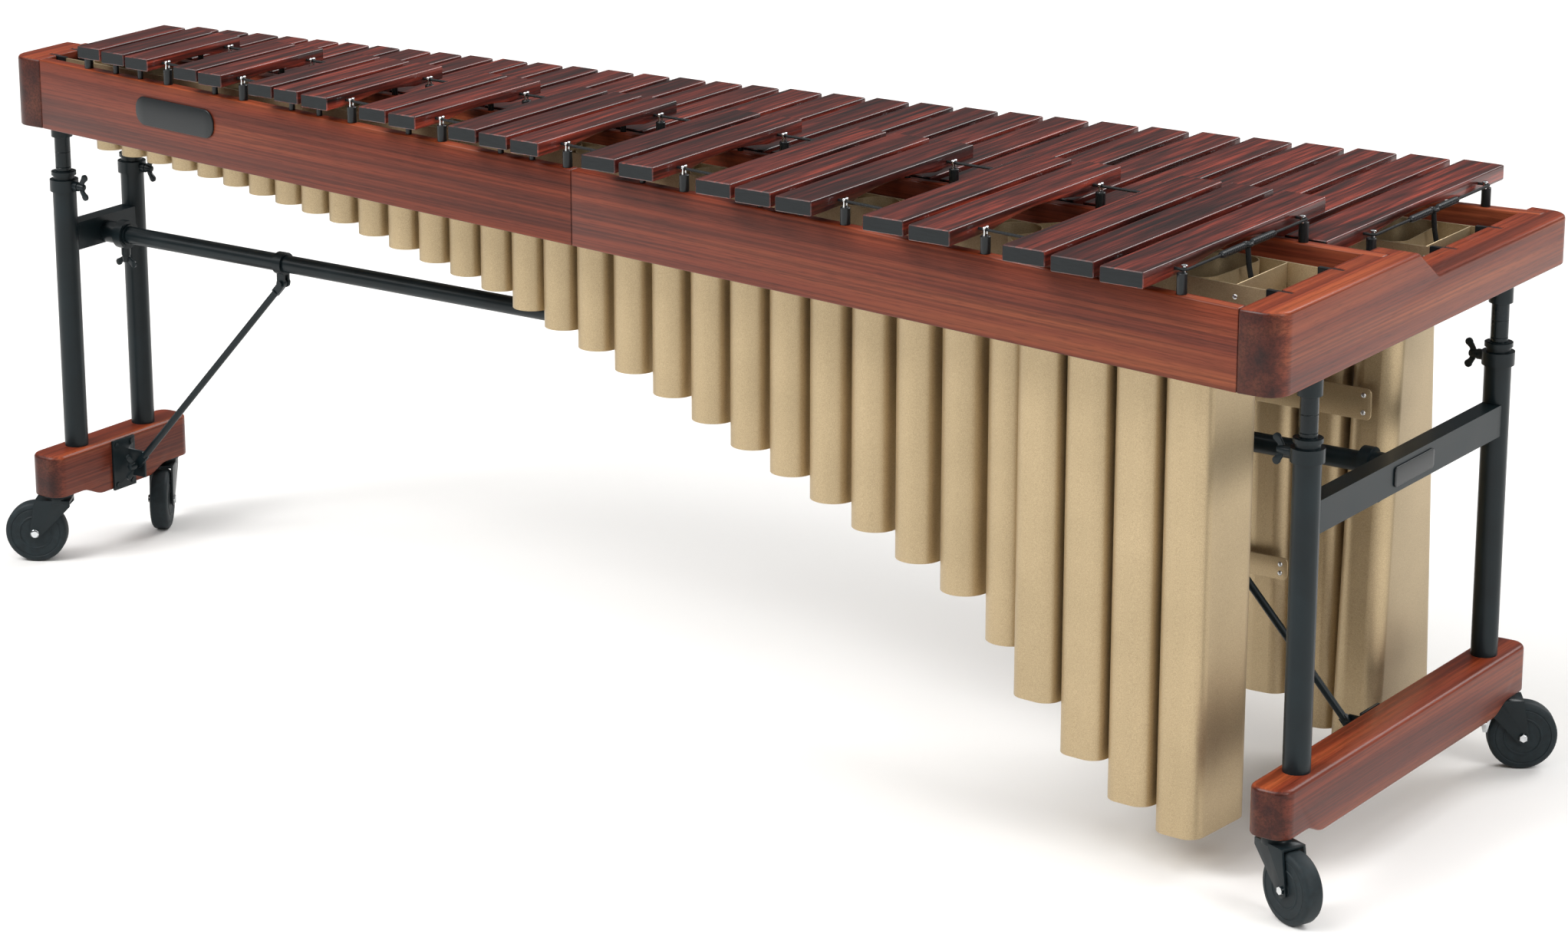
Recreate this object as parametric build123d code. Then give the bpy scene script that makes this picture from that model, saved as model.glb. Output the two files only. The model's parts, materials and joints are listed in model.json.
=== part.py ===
from build123d import *
import os
from math import atan2, cos, degrees, hypot, radians

# Concert marimba, 33 natural bars and 23 accidental bars, F2 to C7.
# Frame: +X is the low (long-bar) end, -Y the audience side with the accidental bars,
# +Z up. The origin lies on the floor under the middle of the instrument.
# All sizes are in millimetres.

# ---------------------------------------------------------------- driving sizes
LEG_X = 1176.0              # leg centre lines, low end +X and high end -X
BOARD_THICK = 62.0          # end boards, along X
BOARD_LOW = (-421.0, 434.0)     # front and back ends of the low-end board
BOARD_HIGH = (-156.0, 160.0)
BOARD_BOTTOM = 730.0
RAISED_TOP = 841.0          # top of the rails and board under the accidentals
LOWER_TOP = 800.0           # top of the rails and board under the naturals
RAIL_THICK = 20.0
INNER_RAIL_HEIGHT = 70.0
RAIL_HOUSING = 30.0         # how far a rail is let into an end board
BACK_RAIL_INSET = 20.7      # board's back end to the back rail's outer face

LEG_HALF_LOW = 280.0        # leg distance from the centre plane
LEG_HALF_HIGH = 80.0
FOOT_HALF_LOW = 363.0
FOOT_HALF_HIGH = 161.0
FOOT_WIDTH = 62.0
FOOT_BOTTOM = 116.0
FOOT_TOP = 185.0
FOOT_BELLY = 15.0           # how much deeper the foot is in its middle
FOOT_END_FLAT = 58.0
FOOT_CURVE = 52.0
OUTER_TUBE_R = 19.0
OUTER_TUBE_WALL = 2.0
OUTER_TUBE_TOP = 611.0
INNER_TUBE_R = 12.5
INNER_TUBE_BOTTOM = 340.0
RUNNING_FIT = 0.05          # radial clearance of shafts that turn or slide
COLLAR_TOP = 644.0

CROSSBAR_Z = 534.0
CROSSBAR_HEIGHT = 45.0
CROSSBAR_THICK = 29.0
STRETCHER_R = 14.0
STRETCHER_Z = 529.0
SOCKET_R = 17.5
SOCKET_END = 1112.0         # inner end of the stretcher sockets, |X|
BRACE_TOP_X = 790.0
BRACE_TOP_Z = 497.0
BRACE_FOOT = (1117.0, 141.0)    # lower brace bolt, |X| and Z
BRACE_R = 5.5

SCREW_R = 3.0
SCREW_LENGTH = 14.0
CLAMP_Z = 620.5             # height of the collar clamp screws
STEM_R = 6.0                # caster stem
DIVIDER_OFFSET = 35.0       # last bass box to the cross plate beyond it
CROSS_PLATE_THICK = 2.0
TIE_PLATE_THICK = 2.5
TIE_PLATE_GAP = 8.0         # from the bass boxes' far wall
TIE_PLATES = ((782, 1062, 547, 592), (782, 942, 292, 325))   # x and z ends of each tie plate
BLANK_PLATE = (176.0, 45.0, 3.0)    # length, height and thickness on the front rail
BLANK_PLATE_CORNER = 20.0
BLANK_PLATE_PLACE = (-830.0, 795.0)     # x and z of its middle
INNER_FOOT_X = LEG_X - FOOT_WIDTH / 2

WHEEL_R = 50.0
WHEEL_WIDTH = 30.0
AXLE_R = 4.0
CASTER_TRAIL = 38.0
CASTER_INSET = 33.0         # swivel axis from the foot's end

LOW_PITCH = 78.8            # pitch of the natural bars in the four width groups
BAR_GROUPS = (              # count, pitch, width, from the low end
    (8, 78.8, 64.0),
    (7, 72.3, 59.0),
    (8, 62.2, 50.5),
    (10, 56.3, 46.5),
)
FIRST_BAR_X = 1047.0
NODE_SHARE = 0.17           # nodal line from an accidental bar's end, as a share of its length
NATURAL_NODES = (0.195, 0.16)   # the same for the naturals' inner and outer ends
ACCIDENTAL_FAR = (10.5, 2.5)    # far ends at the low and high board
NATURAL_GAP = 5.0           # accidental inner rail's back face to the naturals' near ends
BAR_THICK = (22.0, 19.0)    # at the ends, low and high bars
BAR_ARCH = (12.5, 4.0)      # depth of the tuning arch, low and high bars
ACCIDENTAL_BAR_Z = 862.0    # underside of the bar ends
NATURAL_BAR_Z = 820.5
CORD_R = 2.0
CORD_HOLE_R = 2.6
CORD_CORNER_R = 5.2
PIN_R = 3.0
POST_R = 7.0
END_POST_GAP = 12.0         # last bar's edge to the corner post
WIDE_GAP = 25.0
SLEEVE_LENGTH = 65.0
SLEEVE_R = 5.0
TENSION_RING_R = 8.0
LOOP_R = 3.6                # doubled pull cord
STOPPER_THICK = 4.0

TUBE_R = (38.0, 22.5)       # round resonators, read at the low and high boards
TUBE_WALL = 1.6
BOX_COUNT = 4               # deep box resonators at the low end
BOX_HALF_DEPTH = 68.0
BOX_HALF_WIDTH = 36.0
BOX_CORNER = 24.0
FLARE_HALF_DEPTH = 106.0    # foot of the lowest natural resonator
FLARE_TOP = 720.0
HANGER_THICK = 3.0
HANGER_GAP = 0.3
HANGER_HEIGHT = 50.0
SLOT_DEPTH = 20.0
SLOT_WIDTH = 8.0
TUBE_DROP = 3.0             # resonator mouths below the rail tops
SOUND_SPEED = 345000.0      # millimetres a second
TUNING_A = 442.0

# bottoms of the resonators: place along X and height, joined by straight lines
TUBE_BOTTOMS = (
    (-1200, 706), (-830, 688), (-550, 660), (-250, 608), (80, 506), (430, 382),
    (613, 311), (692, 255), (771, 201), (850, 136), (929, 88), (1008, 60), (1100, 52),
)

INNER_X = LEG_X - BOARD_THICK / 2       # inner face of the end boards
OUTER_X = LEG_X + BOARD_THICK / 2


# ---------------------------------------------------------------- helpers
def save(name, *solids):
    """Write one sub-part, a single solid or a group of like solids."""
    shape = solids[0] if len(solids) == 1 else Compound(children=list(solids))
    shape.label = name
    export_step(shape, f"parts/{name}.step")


def solid_of(shape):
    """The one solid of a shape made by adding and cutting."""
    return shape.solids()[0]


def along(x, low, high):
    """A value that runs straight from the high board to the low board."""
    return high + (low - high) * (x + INNER_X) / (2 * INNER_X)


def stations(table, x):
    """Straight-line reading between the stations of a table."""
    for (x0, v0), (x1, v1) in zip(table, table[1:]):
        if x <= x1:
            return v0 + (v1 - v0) * (x - x0) / (x1 - x0)
    return table[-1][1]


def rod(start, end, radius):
    """A plain round bar between two points."""
    line = Vector(*end) - Vector(*start)
    plane = Plane(origin=start, z_dir=line)
    return solid_of(plane * extrude(Circle(radius), line.length))


def tube(start, end, radius, bore):
    """A round tube between two points."""
    line = Vector(*end) - Vector(*start)
    plane = Plane(origin=start, z_dir=line)
    return solid_of(plane * extrude(Circle(radius) - Circle(bore), line.length))


def block(x0, x1, y0, y1, z0, z1):
    """A box between two corners."""
    return solid_of(Pos((x0 + x1) / 2, (y0 + y1) / 2, (z0 + z1) / 2) * Box(x1 - x0, y1 - y0, z1 - z0))


def plank(x0, x1, line, half, z0, z1):
    """An upright plank that follows a plan line y(x), cut square at its ends."""
    corners = [(x0, line(x0) - half), (x1, line(x1) - half), (x1, line(x1) + half), (x0, line(x0) + half)]
    return solid_of(extrude(Pos(0, 0, z0) * make_face(Polyline(*corners, close=True)), z1 - z0))


# ---------------------------------------------------------------- plan lines
def front_line(x):
    """Centre of the front rail and outer nodal line of the accidentals."""
    return along(x, BOARD_LOW[0], BOARD_HIGH[0]) + RAIL_THICK / 2


def back_line(x):
    """Centre of the back rail and outer nodal line of the naturals."""
    inset = BACK_RAIL_INSET + RAIL_THICK / 2
    return along(x, BOARD_LOW[1] - inset, BOARD_HIGH[1] - inset + 10)


def accidental_far(x):
    return along(x, *ACCIDENTAL_FAR)


def accidental_near(x):
    return (front_line(x) - NODE_SHARE * accidental_far(x)) / (1 - NODE_SHARE)


def natural_near(x):
    return accidental_line(x) + RAIL_THICK / 2 + NATURAL_GAP


def natural_far(x):
    share = NATURAL_NODES[1]
    return (back_line(x) - share * natural_near(x)) / (1 - share)


def accidental_line(x):
    """Inner nodal line of the accidentals."""
    return accidental_far(x) - NODE_SHARE * (accidental_far(x) - accidental_near(x))


def natural_line(x):
    """Inner nodal line of the naturals."""
    return natural_near(x) + NATURAL_NODES[0] * (natural_far(x) - natural_near(x))


def accidental_bank(x):
    return (front_line(x) + accidental_line(x)) / 2


def natural_bank(x):
    return (back_line(x) + natural_line(x)) / 2


# ---------------------------------------------------------------- bar places
def natural_places():
    """Centre and width of each natural bar, from the low end."""
    places = []
    x = FIRST_BAR_X
    for count, pitch, width in BAR_GROUPS:
        for _ in range(count):
            if places:
                x -= (places[-1][1] + width) / 2 + gap
            places.append((x, width))
            gap = pitch - width
    return places


NATURALS = natural_places()
SHARP_STEPS = (0, 1, 2, 4, 5)           # gaps that hold an accidental, counted from F


def accidental_places():
    """Centre, width and gap number of each accidental bar, from the low end."""
    places = []
    for gap in range(len(NATURALS) - 1):
        if gap % 7 in SHARP_STEPS:
            (x0, w0), (x1, w1) = NATURALS[gap], NATURALS[gap + 1]
            places.append(((x0 + x1 - (w0 - w1) / 2) / 2, min(w0, w1), gap))
    return places


ACCIDENTALS = accidental_places()


# ---------------------------------------------------------------- wooden frame
def end_board(side, ends, slope):
    """An end board, raised in front, with the housings for rails and hangers."""
    front, back = ends
    outline = [
        (front, BOARD_BOTTOM), (back, BOARD_BOTTOM), (back, LOWER_TOP),
        (slope[1], LOWER_TOP), (slope[0], RAISED_TOP), (front, RAISED_TOP),
    ]
    face = Plane.YZ * make_face(Polyline(*outline, close=True))
    board = Pos(INNER_X, 0, 0) * extrude(face, BOARD_THICK)
    corners = board.edges().filter_by(Axis.Z).group_by(Axis.X)[-1]
    board = fillet([e for e in corners if e.length > 60], 30)
    top_edges = [e for e in board.edges() if e.center().Z > LOWER_TOP - 1 and e.center().X > INNER_X + 5]
    board = chamfer(top_edges, 3)
    if side < 0:
        board = mirror(board, about=Plane.YZ)
    for line, top in ((accidental_line, RAISED_TOP), (natural_line, LOWER_TOP), (back_line, LOWER_TOP)):
        x0, x1 = sorted((side * INNER_X, side * (INNER_X + RAIL_HOUSING)))
        board -= plank(x0, x1, line, RAIL_THICK / 2, top - INNER_RAIL_HEIGHT, top + 5)
    for centre, top in ((accidental_bank, RAISED_TOP), (natural_bank, LOWER_TOP)):
        for line in hanger_lines(centre, side > 0):
            x0, x1 = sorted((side * (INNER_X - 1), side * (INNER_X + SLOT_DEPTH)))
            bottom = top - TUBE_DROP - HANGER_HEIGHT - 1
            board -= plank(x0, x1, line, SLOT_WIDTH / 2, bottom, top + 5)
    return solid_of(board)


def hanger_inside(x, deep):
    """From a bank's centre line to a hanger's inner face."""
    return (BOX_HALF_DEPTH if deep else along(x, *TUBE_R)) + HANGER_GAP


def hanger_lines(centre, deep):
    """The plan lines of a bank's two hangers, where they meet an end board."""
    def line(side):
        return lambda x: centre(x) + side * (hanger_inside(x, deep) + HANGER_THICK / 2)
    return line(-1), line(1)


def rails():
    """The four long rails; each is two lengths that meet under the middle."""
    for name, x0, x1 in (("low", 0, INNER_X), ("high", -INNER_X, 0)):
        save(f"front_rail_{name}", plank(x0, x1, front_line, RAIL_THICK / 2, BOARD_BOTTOM, RAISED_TOP))
    reach = INNER_X + RAIL_HOUSING
    for name, line, top in (
        ("inner_rails_accidental", accidental_line, RAISED_TOP),
        ("inner_rails_natural", natural_line, LOWER_TOP),
        ("back_rails", back_line, LOWER_TOP),
    ):
        halves = [plank(x0, x1, line, RAIL_THICK / 2, top - INNER_RAIL_HEIGHT, top)
                  for x0, x1 in ((0, reach), (-reach, 0))]
        save(name, *halves)


def front_plate():
    """The blank oblong plate on the front rail near the high end."""
    length, height, thick = BLANK_PLATE
    x, z = BLANK_PLATE_PLACE
    slope = degrees(atan2(front_line(INNER_X) - front_line(-INNER_X), 2 * INNER_X))
    face = front_line(x) - RAIL_THICK / 2 / cos(radians(slope))
    sketch = RectangleRounded(length, height, BLANK_PLATE_CORNER)
    plate = extrude(Plane.XZ * sketch, thick)
    return solid_of(Pos(x, face, z) * Rot(0, 0, slope) * plate)


# ---------------------------------------------------------------- bars and suspension
def bar(x, width, near, far, bottom, lines):
    """One bar with its tuning arch and its two cord holes."""
    share = (x + INNER_X) / (2 * INNER_X)
    thick = BAR_THICK[1] + (BAR_THICK[0] - BAR_THICK[1]) * share
    arch = BAR_ARCH[1] + (BAR_ARCH[0] - BAR_ARCH[1]) * share
    top = bottom + BAR_THICK[0]
    low = top - thick
    start = near + (far - near) * 0.24
    stop = far - (far - near) * 0.24
    outline = Polyline((near, low), (near, top), (far, top), (far, low), (stop, low))
    outline += ThreePointArc((stop, low), ((near + far) / 2, low + arch), (start, low))
    outline += Line((start, low), (near, low))
    body = Pos(x - width / 2, 0, 0) * extrude(Plane.YZ * make_face(outline), width)
    for line in lines:
        x0, x1 = x - width, x + width
        z = top - BAR_THICK[0] / 2
        body -= rod((x0, line(x0), z), (x1, line(x1), z), CORD_HOLE_R)
    return solid_of(body)


def accidental_bar(x, width):
    lines = (front_line, accidental_line)
    return bar(x, width, accidental_near(x), accidental_far(x), ACCIDENTAL_BAR_Z, lines)


def natural_bar(x, width):
    return bar(x, width, natural_near(x), natural_far(x), NATURAL_BAR_Z, (natural_line, back_line))


def bars():
    """The bars, split where the rails come apart."""
    for name, keep in (("low", lambda x: x > 0), ("high", lambda x: x <= 0)):
        save(f"accidental_bars_{name}", *[accidental_bar(x, w) for x, w, _ in ACCIDENTALS if keep(x)])
        save(f"natural_bars_{name}", *[natural_bar(x, w) for x, w in NATURALS if keep(x)])


def post(x, y, base, cord_z, narrow):
    """A cord post: a sleeve with two upright prongs that the cord lies between."""
    radius = 4.5 if narrow else 7.0
    height = cord_z - base - (14.5 if narrow else 8.0)
    stem = Pos(x, y, base + height / 2) * Cylinder(radius, height)
    prong_height = cord_z + 5 - base
    for side in (-1, 1):
        stem += Pos(x, y + side * 3.6, base + prong_height / 2) * Cylinder(1.2, prong_height)
    return solid_of(stem)


def corner_place(x, line, side):
    """Pin centre of a corner post, inside the cord's turn; side +1 is towards +Y."""
    slope = line(x + 0.5) - line(x - 0.5)
    return line(x) + side * CORD_CORNER_R * hypot(1, slope)


def end_post(x, line, side, base, cord_z):
    """A corner post: the cord turns round its pin, under a cap."""
    height = cord_z - base - 4
    pin_y = corner_place(x, line, side)
    stem = Pos(x, line(x), base + height / 2) * Cylinder(POST_R, height)
    stem += Pos(x, pin_y, base + height + 4) * Cylinder(PIN_R, 8)
    stem += Pos(x, pin_y, base + height + 9) * Cylinder(4.5, 2)
    return solid_of(stem)


def row_ends(row):
    """X of the corner posts at the low and high ends of a row of bars."""
    return row[0][0] + row[0][1] / 2 + END_POST_GAP, row[-1][0] - row[-1][1] / 2 - END_POST_GAP


def post_row(row, lines, base, cord_z):
    """All posts of one row of bars, on both of its nodal lines."""
    posts = []
    low, high = row_ends(row)
    for line, side in zip(lines, (1, -1)):
        posts += [end_post(x, line, side, base, cord_z) for x in (low, high)]
        for a, b in zip(row, row[1:]):
            right_edge = b[0] + b[1] / 2
            gap = a[0] - a[1] / 2 - right_edge
            narrow = gap < WIDE_GAP
            x = right_edge + (gap / 2 if narrow else END_POST_GAP)
            posts.append(post(x, line(x), base, cord_z, narrow))
    return posts


def suspension_cord(row, lines, cord_z):
    """The cord: from one tension sleeve, round all four corner posts, to the other."""
    outer, inner = lines
    low, high = row_ends(row)
    x0, x1 = low + CORD_CORNER_R, high - CORD_CORNER_R
    middle = (outer(x0) + inner(x0)) / 2
    reach = SLEEVE_LENGTH + TENSION_RING_R
    route = [
        (x0, middle - reach, cord_z), (x0, outer(x0), cord_z), (x1, outer(x1), cord_z),
        (x1, inner(x1), cord_z), (x0, inner(x0), cord_z), (x0, middle + reach, cord_z),
    ]
    path = FilletPolyline(*route, radius=CORD_CORNER_R)
    section = Plane(origin=path @ 0, z_dir=path % 0) * Circle(CORD_R)
    return solid_of(sweep(section, path=path))


def tensioner(row, lines, cord_z):
    """Two sleeves and the ring that draw the cord tight at the low end."""
    outer, inner = lines
    x = row_ends(row)[0] + CORD_CORNER_R
    middle = (outer(x) + inner(x)) / 2
    pieces = []
    for side in (-1, 1):
        near = middle + side * TENSION_RING_R
        far = middle + side * (TENSION_RING_R + SLEEVE_LENGTH)
        pieces.append(rod((x, near, cord_z), (x, far, cord_z), SLEEVE_R))
    ring = extrude(Circle(TENSION_RING_R) - Circle(LOOP_R + 0.4), 3, both=True)
    pieces.append(solid_of(Pos(x, middle, cord_z) * ring))
    return pieces


def pull_loop(row, lines, cord_z):
    """The short doubled cord that hangs from the tension ring, a tight narrow loop."""
    outer, inner = lines
    x = row_ends(row)[0] + CORD_CORNER_R
    middle = (outer(x) + inner(x)) / 2
    top = cord_z - 4
    path = FilletPolyline(
        (x, middle, top), (x + 1, middle + 3, top - 26), (x + 4, middle + 8, top - 52),
        (x + 3, middle + 10, top - 78), radius=40,
    )
    section = Plane(origin=path @ 0, z_dir=path % 0) * Circle(LOOP_R)
    return solid_of(sweep(section, path=path))


ACCIDENTAL_LINES = (front_line, accidental_line)
NATURAL_LINES = (natural_line, back_line)
ROWS = (
    ("accidental", ACCIDENTALS, ACCIDENTAL_LINES, RAISED_TOP, ACCIDENTAL_BAR_Z + BAR_THICK[0] / 2),
    ("natural", NATURALS, NATURAL_LINES, LOWER_TOP, NATURAL_BAR_Z + BAR_THICK[0] / 2),
)


def suspension():
    """Posts, cords and tensioners of both rows."""
    cords, tension = [], []
    for name, row, lines, base, cord_z in ROWS:
        save(f"cord_posts_{name}", *post_row(row, lines, base, cord_z))
        cords.append(suspension_cord(row, lines, cord_z))
        tension += tensioner(row, lines, cord_z)
        cords.append(pull_loop(row, lines, cord_z))
    save("suspension_cords", *cords)
    save("cord_tensioners", *tension)


# ---------------------------------------------------------------- resonators
def round_tube(x, y, top):
    """A round resonator, open above and closed below."""
    bottom = stations(TUBE_BOTTOMS, x)
    radius = along(x, *TUBE_R)
    shell = Pos(x, y, bottom) * extrude(Circle(radius), top - bottom)
    shell -= Pos(x, y, bottom + TUBE_WALL) * extrude(Circle(radius - TUBE_WALL), top - bottom)
    return solid_of(shell)


def box_tube(x, centre, top, foot_half):
    """A deep bass resonator with rounded corners; its foot may flare along Y."""
    bottom = stations(TUBE_BOTTOMS, x)
    slope = degrees(atan2(centre(x + 0.5) - centre(x - 0.5), 1))
    neck = FLARE_TOP if foot_half > BOX_HALF_DEPTH else top

    def body(inset, z):
        """The box's outside, or its hollow with the walls' thickness taken off."""
        def section(height, depth):
            face = RectangleRounded(2 * (BOX_HALF_WIDTH - inset), 2 * (depth - inset), BOX_CORNER - inset)
            return Pos(0, 0, height) * face
        if neck == top:
            return extrude(section(z, BOX_HALF_DEPTH), top + inset - z)
        flare = loft([section(z, foot_half), section(neck, BOX_HALF_DEPTH)])
        return flare + extrude(section(neck, BOX_HALF_DEPTH), top + inset - neck)

    shell = body(0, bottom) - body(TUBE_WALL, bottom + TUBE_WALL)
    return solid_of(Pos(x, centre(x), 0) * Rot(0, 0, slope) * shell)


def stopper(x, y, top, semitone, radius):
    """The plug that tunes a sounding round resonator to its bar."""
    pitch = TUNING_A * 2 ** ((semitone - 69) / 12)
    depth = SOUND_SPEED / (4 * pitch) - 0.6 * radius
    bottom = stations(TUBE_BOTTOMS, x) + TUBE_WALL + 1
    z = max(bottom, top - depth - STOPPER_THICK)
    return solid_of(Pos(x, y, z + STOPPER_THICK / 2) * Cylinder(radius - TUBE_WALL, STOPPER_THICK))


LOW_NOTE = 41               # F2
NATURAL_STEPS = (0, 2, 4, 6, 7, 9, 11)      # F G A B C D E above F


def bank(name, places, centre, top):
    """One bank: its tubes and the stoppers of those that sound."""
    tubes, boxes, plugs = [], [], []
    for index, (x, semitone) in enumerate(places):
        y = centre(x)
        if x > NATURALS[BOX_COUNT][0] + LOW_PITCH / 4:
            flare = FLARE_HALF_DEPTH if name == "natural" and index == 0 else BOX_HALF_DEPTH
            boxes.append(box_tube(x, centre, top, flare))
        else:
            tubes.append(round_tube(x, y, top))
            if semitone is not None:
                plugs.append(stopper(x, y, top, semitone, along(x, *TUBE_R)))
    save(f"{name}_round_resonators", *tubes)
    save(f"{name}_bass_resonators", *boxes)
    return plugs


def hangers(name, centre, top):
    """The two long plates that carry a bank, cranked outward round the bass boxes."""
    plates = []
    reach = INNER_X + SLOT_DEPTH - 2
    crank = (NATURALS[BOX_COUNT][0] + NATURALS[BOX_COUNT - 1][0]) / 2 - 4
    shift = 0 if name == "natural" else -LOW_PITCH / 2
    for side in (-1, 1):
        edge = []
        for x in (-reach, crank + shift - 26, crank + shift + 4, reach):
            wide = x > crank + shift
            edge.append((x, centre(x) + side * hanger_inside(x, wide)))
        outer = [(x, y + side * HANGER_THICK) for x, y in reversed(edge)]
        face = make_face(Polyline(*(edge + outer), close=True))
        plates.append(solid_of(extrude(Pos(0, 0, top - HANGER_HEIGHT) * face, HANGER_HEIGHT)))
    save(f"{name}_hangers", *plates)


def resonators():
    accidentals = {gap: None for gap in range(len(NATURALS) - 1)}
    for gap in accidentals:
        step = NATURAL_STEPS[gap % 7]
        if gap % 7 in SHARP_STEPS:
            accidentals[gap] = LOW_NOTE + 12 * (gap // 7) + step + 1
    between = [((NATURALS[g][0] + NATURALS[g + 1][0]) / 2, note) for g, note in accidentals.items()]
    naturals = [(x, LOW_NOTE + 12 * (i // 7) + NATURAL_STEPS[i % 7]) for i, (x, _) in enumerate(NATURALS)]
    plugs = []
    for name, places, centre, rail_top in (
        ("accidental", between, accidental_bank, RAISED_TOP),
        ("natural", naturals, natural_bank, LOWER_TOP),
    ):
        plugs += bank(name, places, centre, rail_top - TUBE_DROP)
        hangers(name, centre, rail_top - TUBE_DROP)
    save("resonator_stoppers", *plugs)


def sleeves():
    """Black plastic clips on the hanger ends, which sit in the board slots."""
    clips = []
    for centre, top in ((accidental_bank, RAISED_TOP), (natural_bank, LOWER_TOP)):
        for side in (-1, 1):
            x0, x1 = sorted((side * (INNER_X - 18), side * (INNER_X + SLOT_DEPTH - 0.5)))
            for line in hanger_lines(centre, side > 0):
                high = top - TUBE_DROP + 1.5
                clip = plank(x0, x1, line, 3.6, high - 16, high)
                clip -= plank(x0 - 1, x1 + 1, line, 1.8, high - 20, high - 1.4)
                clips.append(solid_of(clip))
    save("hanger_clips", *clips)


def cross_plates():
    """Plates across each bank at the low end, and ties along the natural bass boxes."""
    plates = []
    half = BOX_HALF_DEPTH
    for centre, top, x in (
        (accidental_bank, RAISED_TOP, ACCIDENTALS[0][0]),
        (natural_bank, LOWER_TOP, FIRST_BAR_X),
    ):
        x += BOX_HALF_WIDTH + DIVIDER_OFFSET
        high = top - TUBE_DROP
        plates.append(block(x, x + CROSS_PLATE_THICK, centre(x) - half, centre(x) + half,
                            high - HANGER_HEIGHT, high))
    for x0, x1, z0, z1 in TIE_PLATES:
        y = min(natural_bank(x) - half for x in (x0, x1)) - TIE_PLATE_GAP
        plates.append(block(x0, x1, y - TIE_PLATE_THICK, y, z0, z1))
    save("bank_cross_plates", *plates)


# ---------------------------------------------------------------- stand
ENDS = (("low", 1, LEG_HALF_LOW, FOOT_HALF_LOW), ("high", -1, LEG_HALF_HIGH, FOOT_HALF_HIGH))
CORNERS = [(f"{end}_{place}", side, sign * leg, sign * (foot - CASTER_INSET))
           for end, side, leg, foot in ENDS for place, sign in (("front", -1), ("back", 1))]


def foot(side, half):
    """A wooden foot: bowed ends, chamfered top, deeper in the middle."""
    flat, curve, drop = FOOT_END_FLAT, FOOT_CURVE, FOOT_BELLY
    z = FOOT_BOTTOM
    start, stop = half - flat, half - flat - curve
    outline = Polyline((-start, z), (-half, z), (-half, FOOT_TOP), (half, FOOT_TOP), (half, z), (start, z))
    outline += Spline((start, z), ((start + stop) / 2, z - drop / 2), (stop, z - drop),
                      tangents=((-1, 0), (-1, 0)))
    outline += Line((stop, z - drop), (-stop, z - drop))
    outline += Spline((-stop, z - drop), (-(start + stop) / 2, z - drop / 2), (-start, z),
                      tangents=((-1, 0), (-1, 0)))
    x0 = side * LEG_X - FOOT_WIDTH / 2
    body = Pos(x0, 0, 0) * extrude(Plane.YZ * make_face(outline), FOOT_WIDTH)
    corners = [e for e in body.edges().filter_by(Axis.Z) if abs(e.center().Y) > half - 1]
    body = fillet(corners, 22)
    body = chamfer([e for e in body.edges() if e.center().Z > FOOT_TOP - 0.1], 4)
    for sign in (-1, 1):
        y = sign * (half - CASTER_INSET)
        body -= Pos(side * LEG_X, y, FOOT_BOTTOM + 15) * Cylinder(STEM_R, 30.2)
    return solid_of(body)


def legs():
    """Outer leg tubes, their clamp collars and the telescoping inner tubes."""
    outers, collars, inners, blocks = [], [], [], []
    for _, side, y, _ in CORNERS:
        x = side * LEG_X
        outers.append(tube((x, y, FOOT_TOP), (x, y, OUTER_TUBE_TOP), OUTER_TUBE_R,
                           OUTER_TUBE_R - OUTER_TUBE_WALL))
        collars.append(leg_collar(side, x, y))
        inners.append(tube((x, y, INNER_TUBE_BOTTOM), (x, y, BOARD_BOTTOM - 30), INNER_TUBE_R, 10.5))
        cap = Pos(x, y, BOARD_BOTTOM - 17) * Cylinder(17, 26)
        cap += Pos(x, y, BOARD_BOTTOM - 2) * Box(46, 46, 4)
        cap += Pos(x, y + 20, BOARD_BOTTOM - 15) * Rot(90, 0, 0) * Cylinder(6, 12)
        blocks.append(solid_of(cap))
    save("outer_leg_tubes", *outers)
    save("leg_collars", *collars)
    save("inner_leg_tubes", *inners)
    save("board_sockets", *blocks)


def leg_collar(side, x, y):
    """A split clamp collar: a bush in the outer tube, two rings and a screw boss."""
    bush_r = OUTER_TUBE_R - OUTER_TUBE_WALL
    collar = Pos(x, y, (OUTER_TUBE_TOP - 26 + COLLAR_TOP) / 2) * Cylinder(
        bush_r, COLLAR_TOP - OUTER_TUBE_TOP + 26)
    collar += Pos(x, y, OUTER_TUBE_TOP + 9.5) * Cylinder(23, 19)
    collar += Pos(x, y, COLLAR_TOP - 4) * Cylinder(20, 6)
    collar += Pos(x - side * 24, y, CLAMP_Z) * Rot(0, 90, 0) * Cylinder(7.5, 14)
    collar -= Pos(x, y, OUTER_TUBE_TOP) * Cylinder(INNER_TUBE_R + RUNNING_FIT, 90)
    depth = 40 - (INNER_TUBE_R + 1.5)
    hole_x = x - side * (INNER_TUBE_R + 1.5 + depth / 2)
    collar -= Pos(hole_x, y, CLAMP_Z) * Rot(0, 90, 0) * Cylinder(SCREW_R + RUNNING_FIT, depth)
    return solid_of(collar)


def wing_bolt(place, axis):
    """A wing bolt whose screw points against axis; place is where its head begins."""
    plane = Plane(origin=place, z_dir=axis)
    head = Pos(0, 0, 5) * Cylinder(6.5, 10)
    head += Pos(0, 0, 11) * Cylinder(4.5, 3)
    for sign in (-1, 1):
        wing = Pos(sign * 9, 0, 10) * Rot(0, sign * 35, 0) * Box(16, 4, 9)
        head += wing
        head += Pos(sign * 16, 0, 15) * Rot(90, 0, 0) * Cylinder(5.5, 4)
    head += Pos(0, 0, -SCREW_LENGTH / 2) * Cylinder(SCREW_R, SCREW_LENGTH)
    return solid_of(plane * head)


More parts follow.
